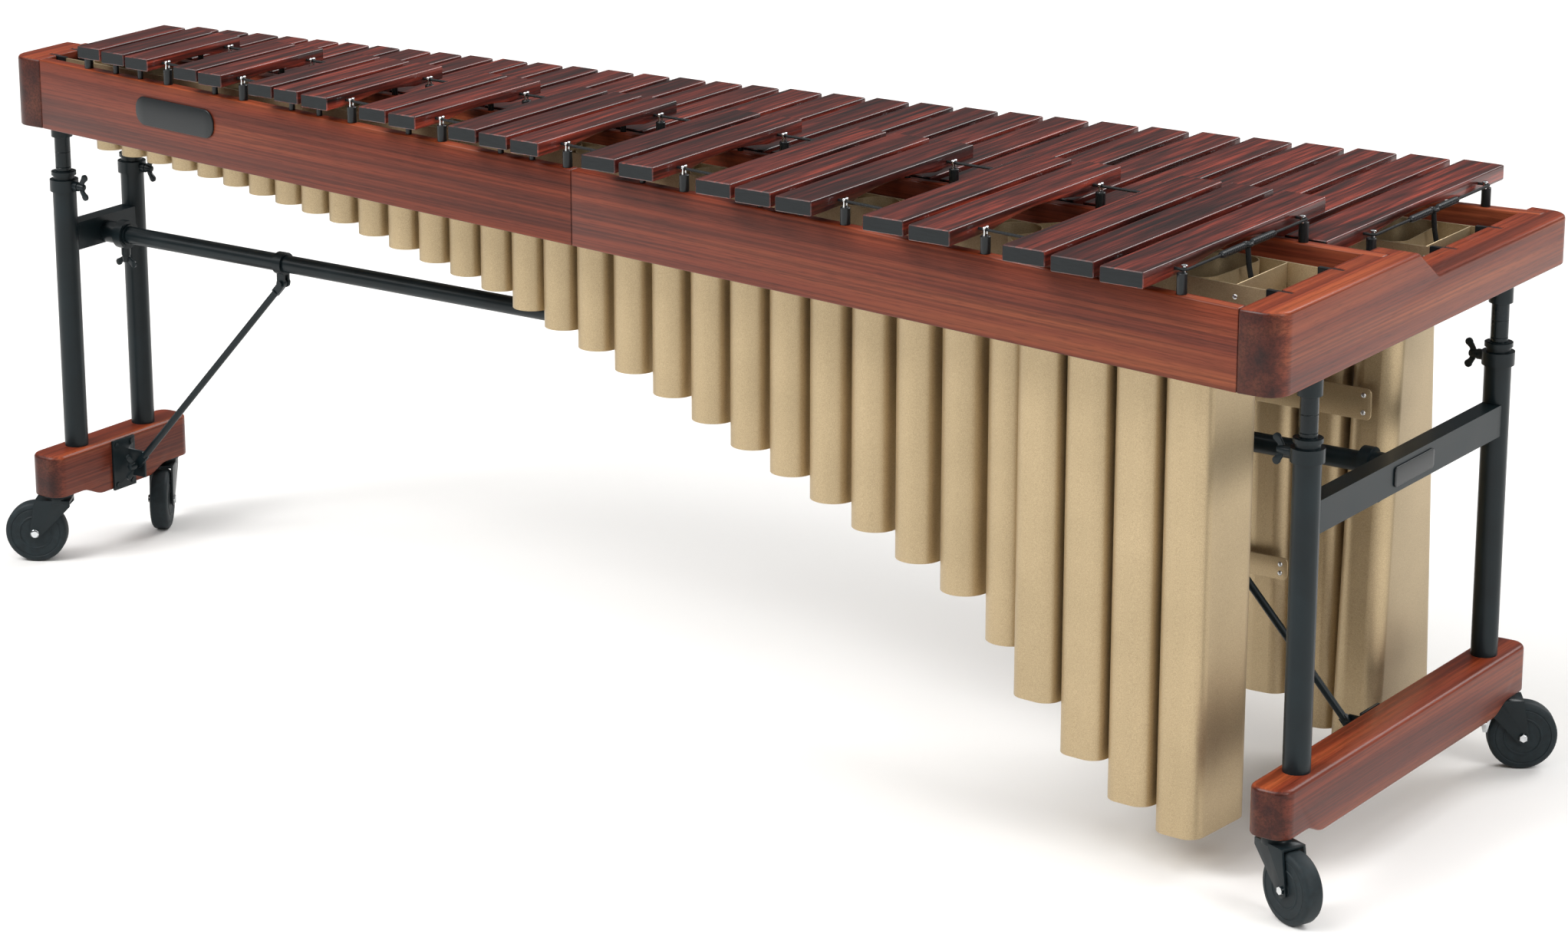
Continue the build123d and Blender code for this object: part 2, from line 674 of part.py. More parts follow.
def leg_wing_bolts():
    for name, side, y, _ in CORNERS:
        x = side * (LEG_X - 31.6)
        save(f"leg_wing_bolt_{name}", wing_bolt((x, y, CLAMP_Z), (-side, 0, 0)))


def crossbars():
    """Rectangular crossbars between the legs, each with a welded stretcher socket."""
    for name, side, leg, _ in ENDS:
        x = side * LEG_X
        half = CROSSBAR_THICK / 2
        bar_solid = block(x - half, x + half, -leg, leg, CROSSBAR_Z - CROSSBAR_HEIGHT / 2,
                          CROSSBAR_Z + CROSSBAR_HEIGHT / 2)
        for y in (-leg, leg):
            bar_solid -= Pos(x, y, CROSSBAR_Z) * Cylinder(OUTER_TUBE_R, 100)
        socket_x = (side * (LEG_X - half), side * SOCKET_END)
        bar_solid = bar_solid + rod((socket_x[0], 0, STRETCHER_Z), (socket_x[1], 0, STRETCHER_Z), SOCKET_R)
        bore = rod((side * (LEG_X - half - 1), 0, STRETCHER_Z), (side * (SOCKET_END - 5), 0, STRETCHER_Z),
                   STRETCHER_R)
        save(f"crossbar_{name}", solid_of(bar_solid - bore))
    face = LEG_X + CROSSBAR_THICK / 2
    badge = Pos(face, 0, CROSSBAR_Z) * extrude(Plane.YZ * RectangleRounded(116, 28, 6), 2.5)
    save("crossbar_blank_plate", solid_of(badge))


def stretcher():
    """The long tube between the crossbars, its clamps and their wing bolts."""
    reach = LEG_X - CROSSBAR_THICK / 2 - 1
    save("stretcher_tube", tube((-reach, 0, STRETCHER_Z), (reach, 0, STRETCHER_Z), STRETCHER_R, 12))
    clamps = []
    for name, side, _, _ in ENDS:
        x = side * (SOCKET_END + 11)
        ring = Pos(x, 0, STRETCHER_Z) * Rot(0, 90, 0) * (Cylinder(23, 16) - Cylinder(SOCKET_R, 20))
        ring += Pos(x, 0, STRETCHER_Z - 27) * Cylinder(7.5, 14)
        ring -= Pos(x, 0, STRETCHER_Z - 28) * Cylinder(SCREW_R + RUNNING_FIT, 18)
        clamps.append(solid_of(ring))
        save(f"stretcher_wing_bolt_{name}", wing_bolt((x, 0, STRETCHER_Z - 34.6), (0, 0, -1)))
    save("stretcher_clamps", *clamps)


def braces():
    """Diagonal braces from collars on the stretcher to brackets on the feet."""
    rings, brackets, fasteners = [], [], []
    for name, side, _, _ in ENDS:
        x = side * BRACE_TOP_X
        ring = Pos(x, 0, STRETCHER_Z) * Rot(0, 90, 0) * (Cylinder(18, 16) - Cylinder(STRETCHER_R, 20))
        for y in (-5.6, 5.6):
            ear = Pos(x, y, BRACE_TOP_Z + 8) * Box(14, 4, 16)
            ear += Pos(x, y, BRACE_TOP_Z) * Rot(90, 0, 0) * Cylinder(8, 4)
            ring += ear
        ring -= Pos(x, 0, STRETCHER_Z) * Rot(0, 90, 0) * Cylinder(STRETCHER_R, 20)
        ring -= Pos(x, 0, BRACE_TOP_Z) * Rot(90, 0, 0) * Cylinder(3, 30)
        rings.append(solid_of(ring))
        bolt = Pos(x, 0, BRACE_TOP_Z) * Rot(90, 0, 0) * Cylinder(3, 16)
        for y in (-9.6, 9.6):
            bolt += Pos(x, y, BRACE_TOP_Z) * Rot(90, 0, 0) * Cylinder(5, 4)
        fasteners.append(solid_of(bolt))
        save(f"brace_{name}", brace(side))
        brackets.append(bracket(side))
        for y in (-24, 12):
            for z in (-34, 34):
                place = (side * (INNER_FOOT_X - 4), y, BRACE_FOOT[1] + z)
                fasteners.append(rod(place, (place[0] - side * 1.8, y, place[2]), 4.2))
        foot_x, foot_z = side * BRACE_FOOT[0], BRACE_FOOT[1]
        save(f"brace_wing_bolt_{name}", wing_bolt((foot_x, -9.1, foot_z), (0, -1, 0)))
    save("brace_collars", *rings)
    save("brace_brackets", *brackets)
    save("brace_fasteners", *fasteners)


def brace(side):
    """One brace rod with a flat drilled eye at each end."""
    top = Vector(side * BRACE_TOP_X, 0, BRACE_TOP_Z)
    low = Vector(side * BRACE_FOOT[0], 0, BRACE_FOOT[1])
    run = (low - top).normalized()
    body = rod(tuple(top + run * 22), tuple(low - run * 22), BRACE_R)
    plane = Plane(origin=tuple(top), x_dir=tuple(run), z_dir=(0, -1, 0))
    length = (low - top).length
    for place, reach in ((0, 26), (length, -26)):
        flat = Pos(place + reach / 2, 0, 0) * Box(abs(reach), 13, 6.4)
        flat += Pos(place, 0, 0) * Cylinder(6.5, 6.4)
        body += plane * flat
    body -= Pos(*top) * Rot(90, 0, 0) * Cylinder(3, 30)
    body -= Pos(*low) * Rot(90, 0, 0) * Cylinder(SCREW_R + RUNNING_FIT, 30)
    return solid_of(body)


def bracket(side):
    """An angle bracket on the foot's inner face: a screwed plate and an upright ear."""
    face = side * INNER_FOOT_X
    z = BRACE_FOOT[1]
    x0, x1 = sorted((face, face - side * 4))
    plate = block(x0, x1, -32, 20, z - 42, z + 42)
    x0, x1 = sorted((face, side * (BRACE_FOOT[0] - 11)))
    plate += block(x0, x1, 3.4, 7.4, z - 22, z + 22)
    plate -= Pos(side * BRACE_FOOT[0], 6, z) * Rot(90, 0, 0) * Cylinder(SCREW_R + RUNNING_FIT, 12)
    return solid_of(plate)


# ---------------------------------------------------------------- casters
BRAKED = ("low_back", "high_back")
BRAKE_PIVOT = (-12.0, 98.0)     # local X and Z of the brake hinge
BRAKE_PIN_R = 2.5
REST_YAW = {"low_front": -24, "low_back": 33, "high_front": 212, "high_back": -57}


def caster_fork(place, braked):
    """A swivel fork with its axle, built with the wheel trailing along local +X."""
    head = Pos(0, 0, 106.3) * Cylinder(21, 9)
    reach = WHEEL_WIDTH / 2 + 1.2
    bridge = Pos(8, 0, 103.8) * Box(58, 2 * reach + 7, 4)
    fork = head + bridge
    for sign in (-1, 1):
        y0 = reach if sign > 0 else -reach - 3.5
        outline = Polyline((-21, 105), (37, 105), (CASTER_TRAIL + 10, WHEEL_R - 6),
                           (CASTER_TRAIL, WHEEL_R - 12), (CASTER_TRAIL - 10, WHEEL_R - 4),
                           (-21, 96), close=True)
        arm = extrude(Plane.XZ * make_face(outline), -3.5)
        fork += Pos(0, y0, 0) * arm
    fork -= Pos(CASTER_TRAIL, 0, WHEEL_R) * Rot(90, 0, 0) * Cylinder(AXLE_R, 80)
    fork -= Pos(0, 0, 106) * Cylinder(STEM_R + RUNNING_FIT, 30)
    if braked:
        pin_hole = Rot(90, 0, 0) * Cylinder(BRAKE_PIN_R + RUNNING_FIT, 12)
        fork -= Pos(BRAKE_PIVOT[0], -WHEEL_WIDTH / 2 - 3, BRAKE_PIVOT[1]) * pin_hole
    return [solid_of(place * fork), solid_of(place * caster_axle())]


def caster_axle():
    """The axle bolt with a head and a nut outside the fork."""
    bolt = Pos(CASTER_TRAIL, 0, WHEEL_R) * Rot(90, 0, 0) * Cylinder(AXLE_R, WHEEL_WIDTH + 9.4)
    for sign in (-1, 1):
        y = sign * (WHEEL_WIDTH / 2 + 6.2)
        bolt += Pos(CASTER_TRAIL, y, WHEEL_R) * Rot(90, 0, 0) * Cylinder(6.5, 3)
    return bolt


def caster_wheel(place):
    """A solid tyre wheel with turned rings on its faces."""
    half = WHEEL_WIDTH / 2
    wheel = fillet(Cylinder(WHEEL_R, WHEEL_WIDTH).edges(), 4)
    for sign in (-1, 1):
        for radius in (27, 40):
            groove = Cylinder(radius + 0.7, 2) - Cylinder(radius - 0.7, 3)
            wheel -= Pos(0, 0, sign * half) * groove
    wheel -= Cylinder(AXLE_R + RUNNING_FIT, 80)
    return solid_of(place * (Pos(CASTER_TRAIL, 0, WHEEL_R) * Rot(90, 0, 0) * wheel))


def brake_lever(place):
    """A side brake: an arm hinged on the fork, a foot tab and a shoe before the tyre."""
    pivot_x, pivot_z = BRAKE_PIVOT
    inner = WHEEL_WIDTH / 2 + 6.4
    outline = Polyline((pivot_x - 7, pivot_z + 4), (pivot_x + 6, pivot_z + 4), (pivot_x + 5, pivot_z - 8),
                       (pivot_x - 3, 60), (pivot_x - 9, 60), (pivot_x - 14, pivot_z - 14), close=True)
    lever = Pos(0, -inner, 0) * extrude(Plane.XZ * make_face(outline), 3)
    lever += block(pivot_x - 26, pivot_x - 6, -inner - 24, -inner, pivot_z - 19, pivot_z - 16)
    lever += block(pivot_x - 8, pivot_x - 3.4, -inner - 1, 11, 60, 72)
    lever += Pos(pivot_x, -inner + 3, pivot_z) * Rot(90, 0, 0) * Cylinder(BRAKE_PIN_R, 6)
    return solid_of(place * lever)


def casters():
    stems = []
    for name, side, _, y in CORNERS:
        place = Pos(side * LEG_X, y, 0) * Rot(0, 0, REST_YAW[name])
        stem = Pos(side * LEG_X, y, FOOT_BOTTOM - 2) * Cylinder(25, 4)
        stem += Pos(side * LEG_X, y, FOOT_BOTTOM + 7.5) * Cylinder(STEM_R, 45)
        stems.append(solid_of(stem))
        braked = name in BRAKED
        save(f"caster_fork_{name}", *caster_fork(place, braked))
        if braked:
            save(f"brake_lever_{name}", brake_lever(place))
        save(f"caster_wheel_{name}", caster_wheel(place))
    save("caster_stems", *stems)


# ---------------------------------------------------------------- build
if __name__ == "__main__":
    os.makedirs("parts", exist_ok=True)
    save("end_board_low", end_board(1, BOARD_LOW, (-40, 18)))
    save("end_board_high", end_board(-1, BOARD_HIGH, (-26, 12)))
    rails()
    save("front_blank_plate", front_plate())
    bars()
    suspension()
    resonators()
    sleeves()
    cross_plates()
    for name, side, _, half in ENDS:
        save(f"foot_{name}", foot(side, half))
    legs()
    leg_wing_bolts()
    crossbars()
    stretcher()
    braces()
    casters()
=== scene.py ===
"""Looks of a concert marimba: finishes, softened wood, turned and cast details."""

import json
import math

import bmesh
import bpy
from mathutils import Matrix, Vector


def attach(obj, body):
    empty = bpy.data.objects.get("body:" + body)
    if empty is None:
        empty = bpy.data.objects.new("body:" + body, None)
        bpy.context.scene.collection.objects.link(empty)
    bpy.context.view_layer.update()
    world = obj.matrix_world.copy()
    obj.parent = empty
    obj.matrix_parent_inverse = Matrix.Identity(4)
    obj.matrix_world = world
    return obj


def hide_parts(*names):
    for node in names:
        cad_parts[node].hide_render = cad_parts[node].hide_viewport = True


bl_info = {
    "name": "Concert marimba",
    "version": (1, 0, 0),
    "blender": (4, 5, 0),
    "location": "3D View > Sidebar > Marimba",
    "description": "Bars, frame, resonators and stand of a concert marimba in their real finishes",
    "category": "Object",
}

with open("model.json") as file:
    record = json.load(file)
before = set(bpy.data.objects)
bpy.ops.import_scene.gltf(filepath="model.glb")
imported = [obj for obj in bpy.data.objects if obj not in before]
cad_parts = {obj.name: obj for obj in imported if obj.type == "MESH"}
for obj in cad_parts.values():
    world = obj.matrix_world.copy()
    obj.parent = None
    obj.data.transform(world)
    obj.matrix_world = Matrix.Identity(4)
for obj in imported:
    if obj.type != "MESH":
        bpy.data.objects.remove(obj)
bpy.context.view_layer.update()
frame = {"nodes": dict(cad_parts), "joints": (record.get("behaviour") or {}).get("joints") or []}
NODES = frame["nodes"]
JOINTS = {joint["name"]: joint for joint in frame["joints"]}
MM = 0.001
ALONG_X, ALONG_Y = 0, 1


def linear(code):
    """Linear colour of an sRGB hex value."""
    values = [int(code[i:i + 2], 16) / 255 for i in (1, 3, 5)]
    return tuple(v / 12.92 if v <= 0.04045 else ((v + 0.055) / 1.055) ** 2.4 for v in values)


def colour(name, code, words):
    """A colour a user may change."""
    return bpy.props.FloatVectorProperty(name=name, description=words, subtype="COLOR", size=3,
                                         min=0, max=1, default=linear(code))


def length(name, millimetres, words):
    """A length a user may change, shown in the scene's unit."""
    return bpy.props.FloatProperty(name=name, description=words, subtype="DISTANCE", unit="LENGTH",
                                   min=0, precision=4, default=millimetres * MM)


# ---------------------------------------------------------------- settings
class MarimbaFinish(bpy.types.PropertyGroup):
    """Colours of the marimba's finishes."""
    rosewood_dark: colour("Rosewood, dark", "#150909", "Late wood and pores of the bars")
    rosewood_mid: colour("Rosewood, middle", "#4E1D18", "Main colour of the bars")
    rosewood_light: colour("Rosewood, light", "#8E3A2C", "Bright streaks of the bars")
    end_paint: colour("Bar end paint", "#0E1214", "Sealing paint on the bars' ends")
    wood_dark: colour("Frame wood, dark", "#4A2119", "Dark grain of the stained frame")
    wood_mid: colour("Frame wood, middle", "#70311F", "Main colour of the stained frame")
    wood_light: colour("Frame wood, light", "#8E4A2D", "Bright grain of the stained frame")
    gold: colour("Resonator gold", "#C3AF8C", "Metallic coat of the resonators")
    gold_deep: colour("Resonator gold, deep", "#A99575", "Flake and drift in the metallic coat")
    black_coat: colour("Black coat", "#0D1619", "Powder coat of the stand's tubes")
    tyre: colour("Tyre rubber", "#141C1F", "Solid tyres of the casters")
    plastic: colour("Black plastic", "#0D1113", "Posts, clips and plates")
    cord: colour("Cord", "#0D0F10", "Braided suspension cord")
    chrome: colour("Chrome", "#D5D8DA", "Prongs, axle bolts and brake levers")
    floor: colour("Floor", "#F4F3F1", "Studio floor")


class MarimbaShape(bpy.types.PropertyGroup):
    """Small sizes of the marimba's details."""
    bar_edge: length("Bar edge", 2.1, "Rounding of the bars' long edges")
    rail_edge: length("Wood edge", 2.2, "Easing of the rails', boards' and feet's edges")
    metal_edge: length("Metal edge", 0.8, "Easing of pressed and cut metal")
    plate_corner: length("Tie plate corner", 8, "Rounding of the tie plates' corners")
    screw_head: length("Screw head", 3.6, "Radius of the hanger and tie plate screws")
    prong_ball: length("Prong ball", 2.6, "Radius of the balls on the cord posts")


# ---------------------------------------------------------------- node and material helpers
MULTIPLY = {"data_type": "RGBA", "blend_type": "MULTIPLY"}
AMOUNT, FIRST, SECOND = 0, 6, 7     # sockets of a colour mix
WHITE = (1, 1, 1)


def outlet(source):
    """A socket as it is, or a node's first live output."""
    if isinstance(source, bpy.types.NodeSocket):
        return source
    return next(socket for socket in source.outputs if socket.enabled)


def add_node(tree, kind, settings=None, links=None, stops=()):
    """Add a node, set its values, link its inputs and lay the (place, colour) stops of its ramp."""
    made = tree.nodes.new(kind)
    for key, value in (settings or {}).items():
        if isinstance(key, str) and hasattr(made, key):
            setattr(made, key, value)
        else:
            made.inputs[key].default_value = value
    for key, source in (links or {}).items():
        tree.links.new(outlet(source), made.inputs[key])
    if stops:
        elements = made.color_ramp.elements
        while len(elements) < len(stops):
            elements.new(0.5)
        for element, (place, value) in zip(elements, stops):
            element.position = place
            element.color = (*value, 1)
    return made


def new_material(name, **shader_values):
    """A material with its shader; shader values are keyed by socket name with underscores."""
    material = bpy.data.materials.new(name)
    material.use_nodes = True
    tree = material.node_tree
    shader = tree.nodes["Principled BSDF"]
    for key, value in shader_values.items():
        shader.inputs[key.replace("_", " ")].default_value = value
    return material, tree, shader


def speckle(tree, size_mm, detail=2.0):
    """Noise in the object's own space, its blotches about size_mm across."""
    place = add_node(tree, "ShaderNodeTexCoord").outputs["Object"]
    return add_node(tree, "ShaderNodeTexNoise", {"Scale": 1 / (size_mm * MM), "Detail": detail},
                    {"Vector": place})


def streaks(tree, place, across_mm, along_mm, axis, detail=3.0, wander=0.0):
    """Noise drawn out along an axis: one streak is across_mm wide and along_mm long."""
    scale = [1 / (across_mm * MM)] * 3
    scale[axis] = 1 / (along_mm * MM)
    stretched = add_node(tree, "ShaderNodeMapping", {"Scale": scale}, {"Vector": place})
    return add_node(tree, "ShaderNodeTexNoise", {"Scale": 1.0, "Detail": detail, "Distortion": wander},
                    {"Vector": stretched})


def surface(tree, shader, shade, gloss=None, relief=None):
    """Link a colour, a (pattern, low, high) roughness and a (pattern, depth in mm, strength) relief."""
    tree.links.new(outlet(shade), shader.inputs["Base Color"])
    if gloss:
        pattern, low, high = gloss
        rough = add_node(tree, "ShaderNodeMapRange", {"To Min": low, "To Max": high}, {"Value": pattern})
        tree.links.new(outlet(rough), shader.inputs["Roughness"])
    if relief:
        pattern, depth, strength = relief
        raised = add_node(tree, "ShaderNodeBump", {"Strength": strength, "Distance": depth * MM},
                          {"Height": pattern})
        tree.links.new(outlet(raised), shader.inputs["Normal"])


def toned(tree, shade, amount, pattern, *stops):
    """A colour multiplied, by an amount, with the (place, colour) stops that a pattern runs through."""
    over = add_node(tree, "ShaderNodeValToRGB", links={"Fac": pattern}, stops=stops)
    return add_node(tree, "ShaderNodeMix", {**MULTIPLY, AMOUNT: amount}, {FIRST: shade, SECOND: over})


def times(factor, shade):
    """A colour made lighter or darker by a factor."""
    return [factor * c for c in shade]


# ---------------------------------------------------------------- materials
FINISHES = {}


def lacquered_rosewood(finish):
    """Rosewood, planed and lacquered: dark ribbon streaks under a glossy clear coat."""
    material, tree, shader = new_material("lacquered_rosewood", IOR=1.5, Specular_IOR_Level=0.35,
                                          Coat_Weight=0.4, Coat_Roughness=0.08, Coat_IOR=1.5)
    place = add_node(tree, "ShaderNodeTexCoord").outputs["Object"]
    seed = add_node(tree, "ShaderNodeAttribute", {"attribute_name": "bar_seed"})
    shift = add_node(tree, "ShaderNodeVectorMath", {"operation": "SCALE", "Scale": 3.7}, {0: seed})
    place = add_node(tree, "ShaderNodeVectorMath", {"operation": "ADD"}, {0: place, 1: shift})
    ribbon = streaks(tree, place, 8, 240, ALONG_Y, 5.0, 0.4)
    fine = streaks(tree, place, 2.4, 80, ALONG_Y, 4.0)
    pores = streaks(tree, place, 0.9, 22, ALONG_Y, 2.0)
    wood = add_node(tree, "ShaderNodeValToRGB", links={"Fac": ribbon}, stops=(
        (0.3, finish.rosewood_dark), (0.5, finish.rosewood_mid), (0.74, finish.rosewood_light)))
    wood = toned(tree, wood, 0.75, fine, (0.36, (0.22, 0.18, 0.18)), (0.58, WHITE))
    wood = toned(tree, wood, 0.55, pores, (0.3, (0.35, 0.35, 0.35)), (0.42, WHITE))
    tone = add_node(tree, "ShaderNodeAttribute", {"attribute_name": "bar_tone"}).outputs["Fac"]
    wood = toned(tree, wood, 1.0, tone, (0.0, (0.7, 0.62, 0.62)), (1.0, (1.45, 1.35, 1.2)))
    surface(tree, shader, wood, (fine, 0.3, 0.42), (pores, 0.08, 0.35))
    return material


def bar_end_paint(finish):
    """Black sealing paint, brushed on end grain: faint ridges under a dull film."""
    material, tree, shader = new_material("brushed_end_paint", IOR=1.5, Specular_IOR_Level=0.3,
                                          Roughness=0.45)
    place = add_node(tree, "ShaderNodeTexCoord").outputs["Object"]
    ridges = streaks(tree, place, 1.2, 18, ALONG_X)
    film = add_node(tree, "ShaderNodeValToRGB", links={"Fac": ridges}, stops=(
        (0.3, finish.end_paint), (0.8, times(2, finish.end_paint))))
    surface(tree, shader, film, relief=(ridges, 0.1, 0.4))
    return material


def stained_frame(finish, name, axis):
    """Stained close-grained hardwood, sprayed with clear lacquer: fine dark pores and soft figure."""
    material, tree, shader = new_material(name, IOR=1.5, Specular_IOR_Level=0.22, Coat_Weight=0.1,
                                          Coat_Roughness=0.15, Coat_IOR=1.5)
    place = add_node(tree, "ShaderNodeAttribute", {"attribute_name": "grain_place"}).outputs["Vector"]
    figure = streaks(tree, place, 30, 900, axis, 1.0)
    rings = streaks(tree, place, 3.4, 700, axis, 2.0)
    pores = streaks(tree, place, 1.3, 34, axis, 2.0)
    wood = add_node(tree, "ShaderNodeValToRGB", links={"Fac": figure}, stops=(
        (0.22, finish.wood_dark), (0.5, finish.wood_mid), (0.8, finish.wood_light)))
    wood = toned(tree, wood, 0.8, rings, (0.38, (0.48, 0.43, 0.4)), (0.6, WHITE))
    wood = toned(tree, wood, 0.5, pores, (0.33, (0.42, 0.38, 0.36)), (0.46, WHITE))
    normal = add_node(tree, "ShaderNodeNewGeometry").outputs["Normal"]
    facing = add_node(tree, "ShaderNodeSeparateXYZ", links={0: normal})
    # painted light: faces that look up are painted lighter, as if lit from above, and end grain drinks more
    # stain and is darker
    wood = toned(tree, wood, 1.0, facing.outputs["Z"], (0.0, (0.95, 0.95, 0.95)), (0.9, (1.5, 1.3, 1.05)))
    across = add_node(tree, "ShaderNodeMath", {"operation": "ABSOLUTE"}, {0: facing.outputs["XYZ"[axis]]})
    wood = toned(tree, wood, 1.0, across, (0.4, WHITE), (0.85, (0.36, 0.36, 0.42)))
    surface(tree, shader, wood, (rings, 0.34, 0.46), (pores, 0.06, 0.3))
    return material


def gold_metallic_coat(finish):
    """Aluminium tube sprayed with champagne metallic paint: fine flake, satin sheen."""
    material, tree, shader = new_material("champagne_metallic_coat", IOR=1.5, Metallic=0.75)
    # real flake is near 0.05 mm; it is drawn at 1.2 mm so that it shows
    flake = speckle(tree, 1.2)
    coat = add_node(tree, "ShaderNodeValToRGB", links={"Fac": flake}, stops=(
        (0.3, finish.gold_deep), (0.7, finish.gold)))
    coat = toned(tree, coat, 1.0, speckle(tree, 140), (0.3, (0.93, 0.93, 0.92)), (0.7, (1.04, 1.04, 1.04)))
    surface(tree, shader, coat, (flake, 0.36, 0.5), (flake, 0.03, 0.25))
    return material


def powder_coat(finish, name="black_powder_coat", gloss=0.34):
    """Steel tube with black powder coat: a fine orange-peel skin that softens the highlights."""
    material, tree, shader = new_material(name, IOR=1.5, Specular_IOR_Level=0.22, Coat_Weight=0.05,
                                          Coat_Roughness=0.12)
    dust = speckle(tree, 60, 3.0)
    coat = add_node(tree, "ShaderNodeValToRGB", links={"Fac": dust}, stops=(
        (0.3, finish.black_coat), (0.75, times(1.7, finish.black_coat))))
    surface(tree, shader, coat, (dust, gloss - 0.05, gloss + 0.1), (speckle(tree, 2.5), 0.05, 0.25))
    return material


def height_marked_tube(finish):
    """Black-coated inner leg with rolled height rings: thin grooves every 25 mm."""
    material = powder_coat(finish, "ring_marked_black_tube", 0.24)
    tree = material.node_tree
    place = add_node(tree, "ShaderNodeTexCoord").outputs["Object"]
    height = add_node(tree, "ShaderNodeSeparateXYZ", links={0: place}).outputs["Z"]
    step = add_node(tree, "ShaderNodeMath", {"operation": "PINGPONG", 1: 12.5 * MM}, {0: height})
    groove = add_node(tree, "ShaderNodeMapRange", {"From Min": 0.0, "From Max": 0.7 * MM}, {"Value": step})
    raised = add_node(tree, "ShaderNodeBump", {"Strength": 1.0, "Distance": 0.5 * MM}, {"Height": groove})
    tree.links.new(outlet(raised), tree.nodes["Principled BSDF"].inputs["Normal"])
    return material


def chrome_plate(finish, name="chrome_plate", gloss=0.12):
    """Polished steel with chrome plate: mirror-like, with faint polishing haze."""
    material, tree, shader = new_material(name, Metallic=1.0)
    haze = speckle(tree, 4)
    shade = add_node(tree, "ShaderNodeValToRGB", links={"Fac": haze}, stops=(
        (0.3, times(0.9, finish.chrome)), (0.7, finish.chrome)))
    surface(tree, shader, shade, (haze, gloss - 0.04, gloss + 0.08))
    return material


def moulded_plastic(finish):
    """Moulded ABS: a fine spark-eroded skin, satin black."""
    material, tree, shader = new_material("moulded_black_plastic", IOR=1.53, Specular_IOR_Level=0.35)
    skin = speckle(tree, 0.8)
    shade = add_node(tree, "ShaderNodeValToRGB", links={"Fac": skin}, stops=(
        (0.35, finish.plastic), (0.7, times(1.8, finish.plastic))))
    surface(tree, shader, shade, (skin, 0.27, 0.4), (skin, 0.03, 0.3))
    return material


def tyre_rubber(finish):
    """Solid moulded rubber: dull, greyish with handling dust."""
    material, tree, shader = new_material("solid_tyre_rubber", IOR=1.52, Specular_IOR_Level=0.25)
    dust = speckle(tree, 9, 5.0)
    shade = add_node(tree, "ShaderNodeValToRGB", links={"Fac": dust}, stops=(
        (0.3, finish.tyre), (0.75, times(1.9, finish.tyre))))
    surface(tree, shader, shade, (dust, 0.5, 0.68), (speckle(tree, 1.0), 0.06, 0.35))
    return material


def braided_cord(finish):
    """Braided synthetic cord: strands that cross both ways, a little shiny."""
    material, tree, shader = new_material("braided_cord", IOR=1.5, Roughness=0.62, Specular_IOR_Level=0.3)
    place = add_node(tree, "ShaderNodeTexCoord").outputs["Object"]
    strands = []
    for turn in (1, -1):
        lean = add_node(tree, "ShaderNodeMapping", {"Scale": (1, 1, turn)}, {"Vector": place})
        # the real strands are near 0.5 mm; a wave of 9 mm is drawn so that the crossing shows
        wave = add_node(tree, "ShaderNodeTexWave", {"Scale": 1 / (9 * MM), "bands_direction": "DIAGONAL"},
                        {"Vector": lean})
        strands.append(wave.outputs["Fac"])
    weave = add_node(tree, "ShaderNodeMath", {"operation": "MAXIMUM"}, {0: strands[0], 1: strands[1]})
    shade = add_node(tree, "ShaderNodeValToRGB", links={"Fac": weave}, stops=(
        (0.2, finish.cord), (0.9, times(2, finish.cord))))
    surface(tree, shader, shade, relief=(weave, 0.25, 0.7))
    return material


def studio_floor(finish):
    """Matt painted studio floor with a barely visible roll texture."""
    material, tree, shader = new_material("matt_studio_floor", Roughness=0.7)
    place = add_node(tree, "ShaderNodeTexCoord").outputs["Object"]
    soft = add_node(tree, "ShaderNodeTexNoise", {"Scale": 1.2, "Detail": 2.0}, {"Vector": place})
    shade = add_node(tree, "ShaderNodeValToRGB", links={"Fac": soft}, stops=(
        (0.3, times(0.97, finish.floor)), (0.7, finish.floor)))
    surface(tree, shader, shade)
    return material


def make_finishes():
    """Build every material once."""
    finish = bpy.context.scene.marimba_finish
    FINISHES.update(
        rosewood=lacquered_rosewood(finish),
        end_paint=bar_end_paint(finish),
        wood_x=stained_frame(finish, "stained_frame_wood_lengthwise", ALONG_X),
        wood_y=stained_frame(finish, "stained_frame_wood_crosswise", ALONG_Y),
        gold=gold_metallic_coat(finish),
        black=powder_coat(finish),
        inner_leg=height_marked_tube(finish),
        chrome=chrome_plate(finish),
        screw=chrome_plate(finish, "zinc_plated_screw", 0.3),
        plastic=moulded_plastic(finish),
        tyre=tyre_rubber(finish),
        cord=braided_cord(finish),
    )


# ---------------------------------------------------------------- mesh helpers
def cad_mesh(node):
    """A working copy of a CAD node's mesh with its doubled corner points joined."""
    mesh = bmesh.new()
    mesh.from_mesh(NODES[node].data)
    bmesh.ops.remove_doubles(mesh, verts=mesh.verts, dist=1e-6)
    return mesh


def solids(mesh):
    """The vertices of each loose solid in a mesh, ordered by place."""
    left = set(mesh.verts)
    found = []
    while left:
        start = left.pop()
        group, edge = {start}, [start]
        while edge:
            for link in edge.pop().link_edges:
                for vert in link.verts:
                    if vert in left:
                        left.discard(vert)
                        group.add(vert)
                        edge.append(vert)
        found.append(group)
    return sorted(found, key=lambda group: tuple(round(c, 5) for c in extent(group)[0]))


def extent(verts):
    """Lowest and highest corners of some vertices."""
    return tuple(Vector([pick(v.co[i] for v in verts) for i in range(3)]) for pick in (min, max))


def boxes(node):
    """Lowest and highest corners of each solid in a CAD node."""
    mesh = cad_mesh(node)
    found = [extent(group) for group in solids(mesh)]
    mesh.free()
    return found


def add_ring(mesh, points):
    """One ring of new vertices."""
    return [mesh.verts.new(point) for point in points]


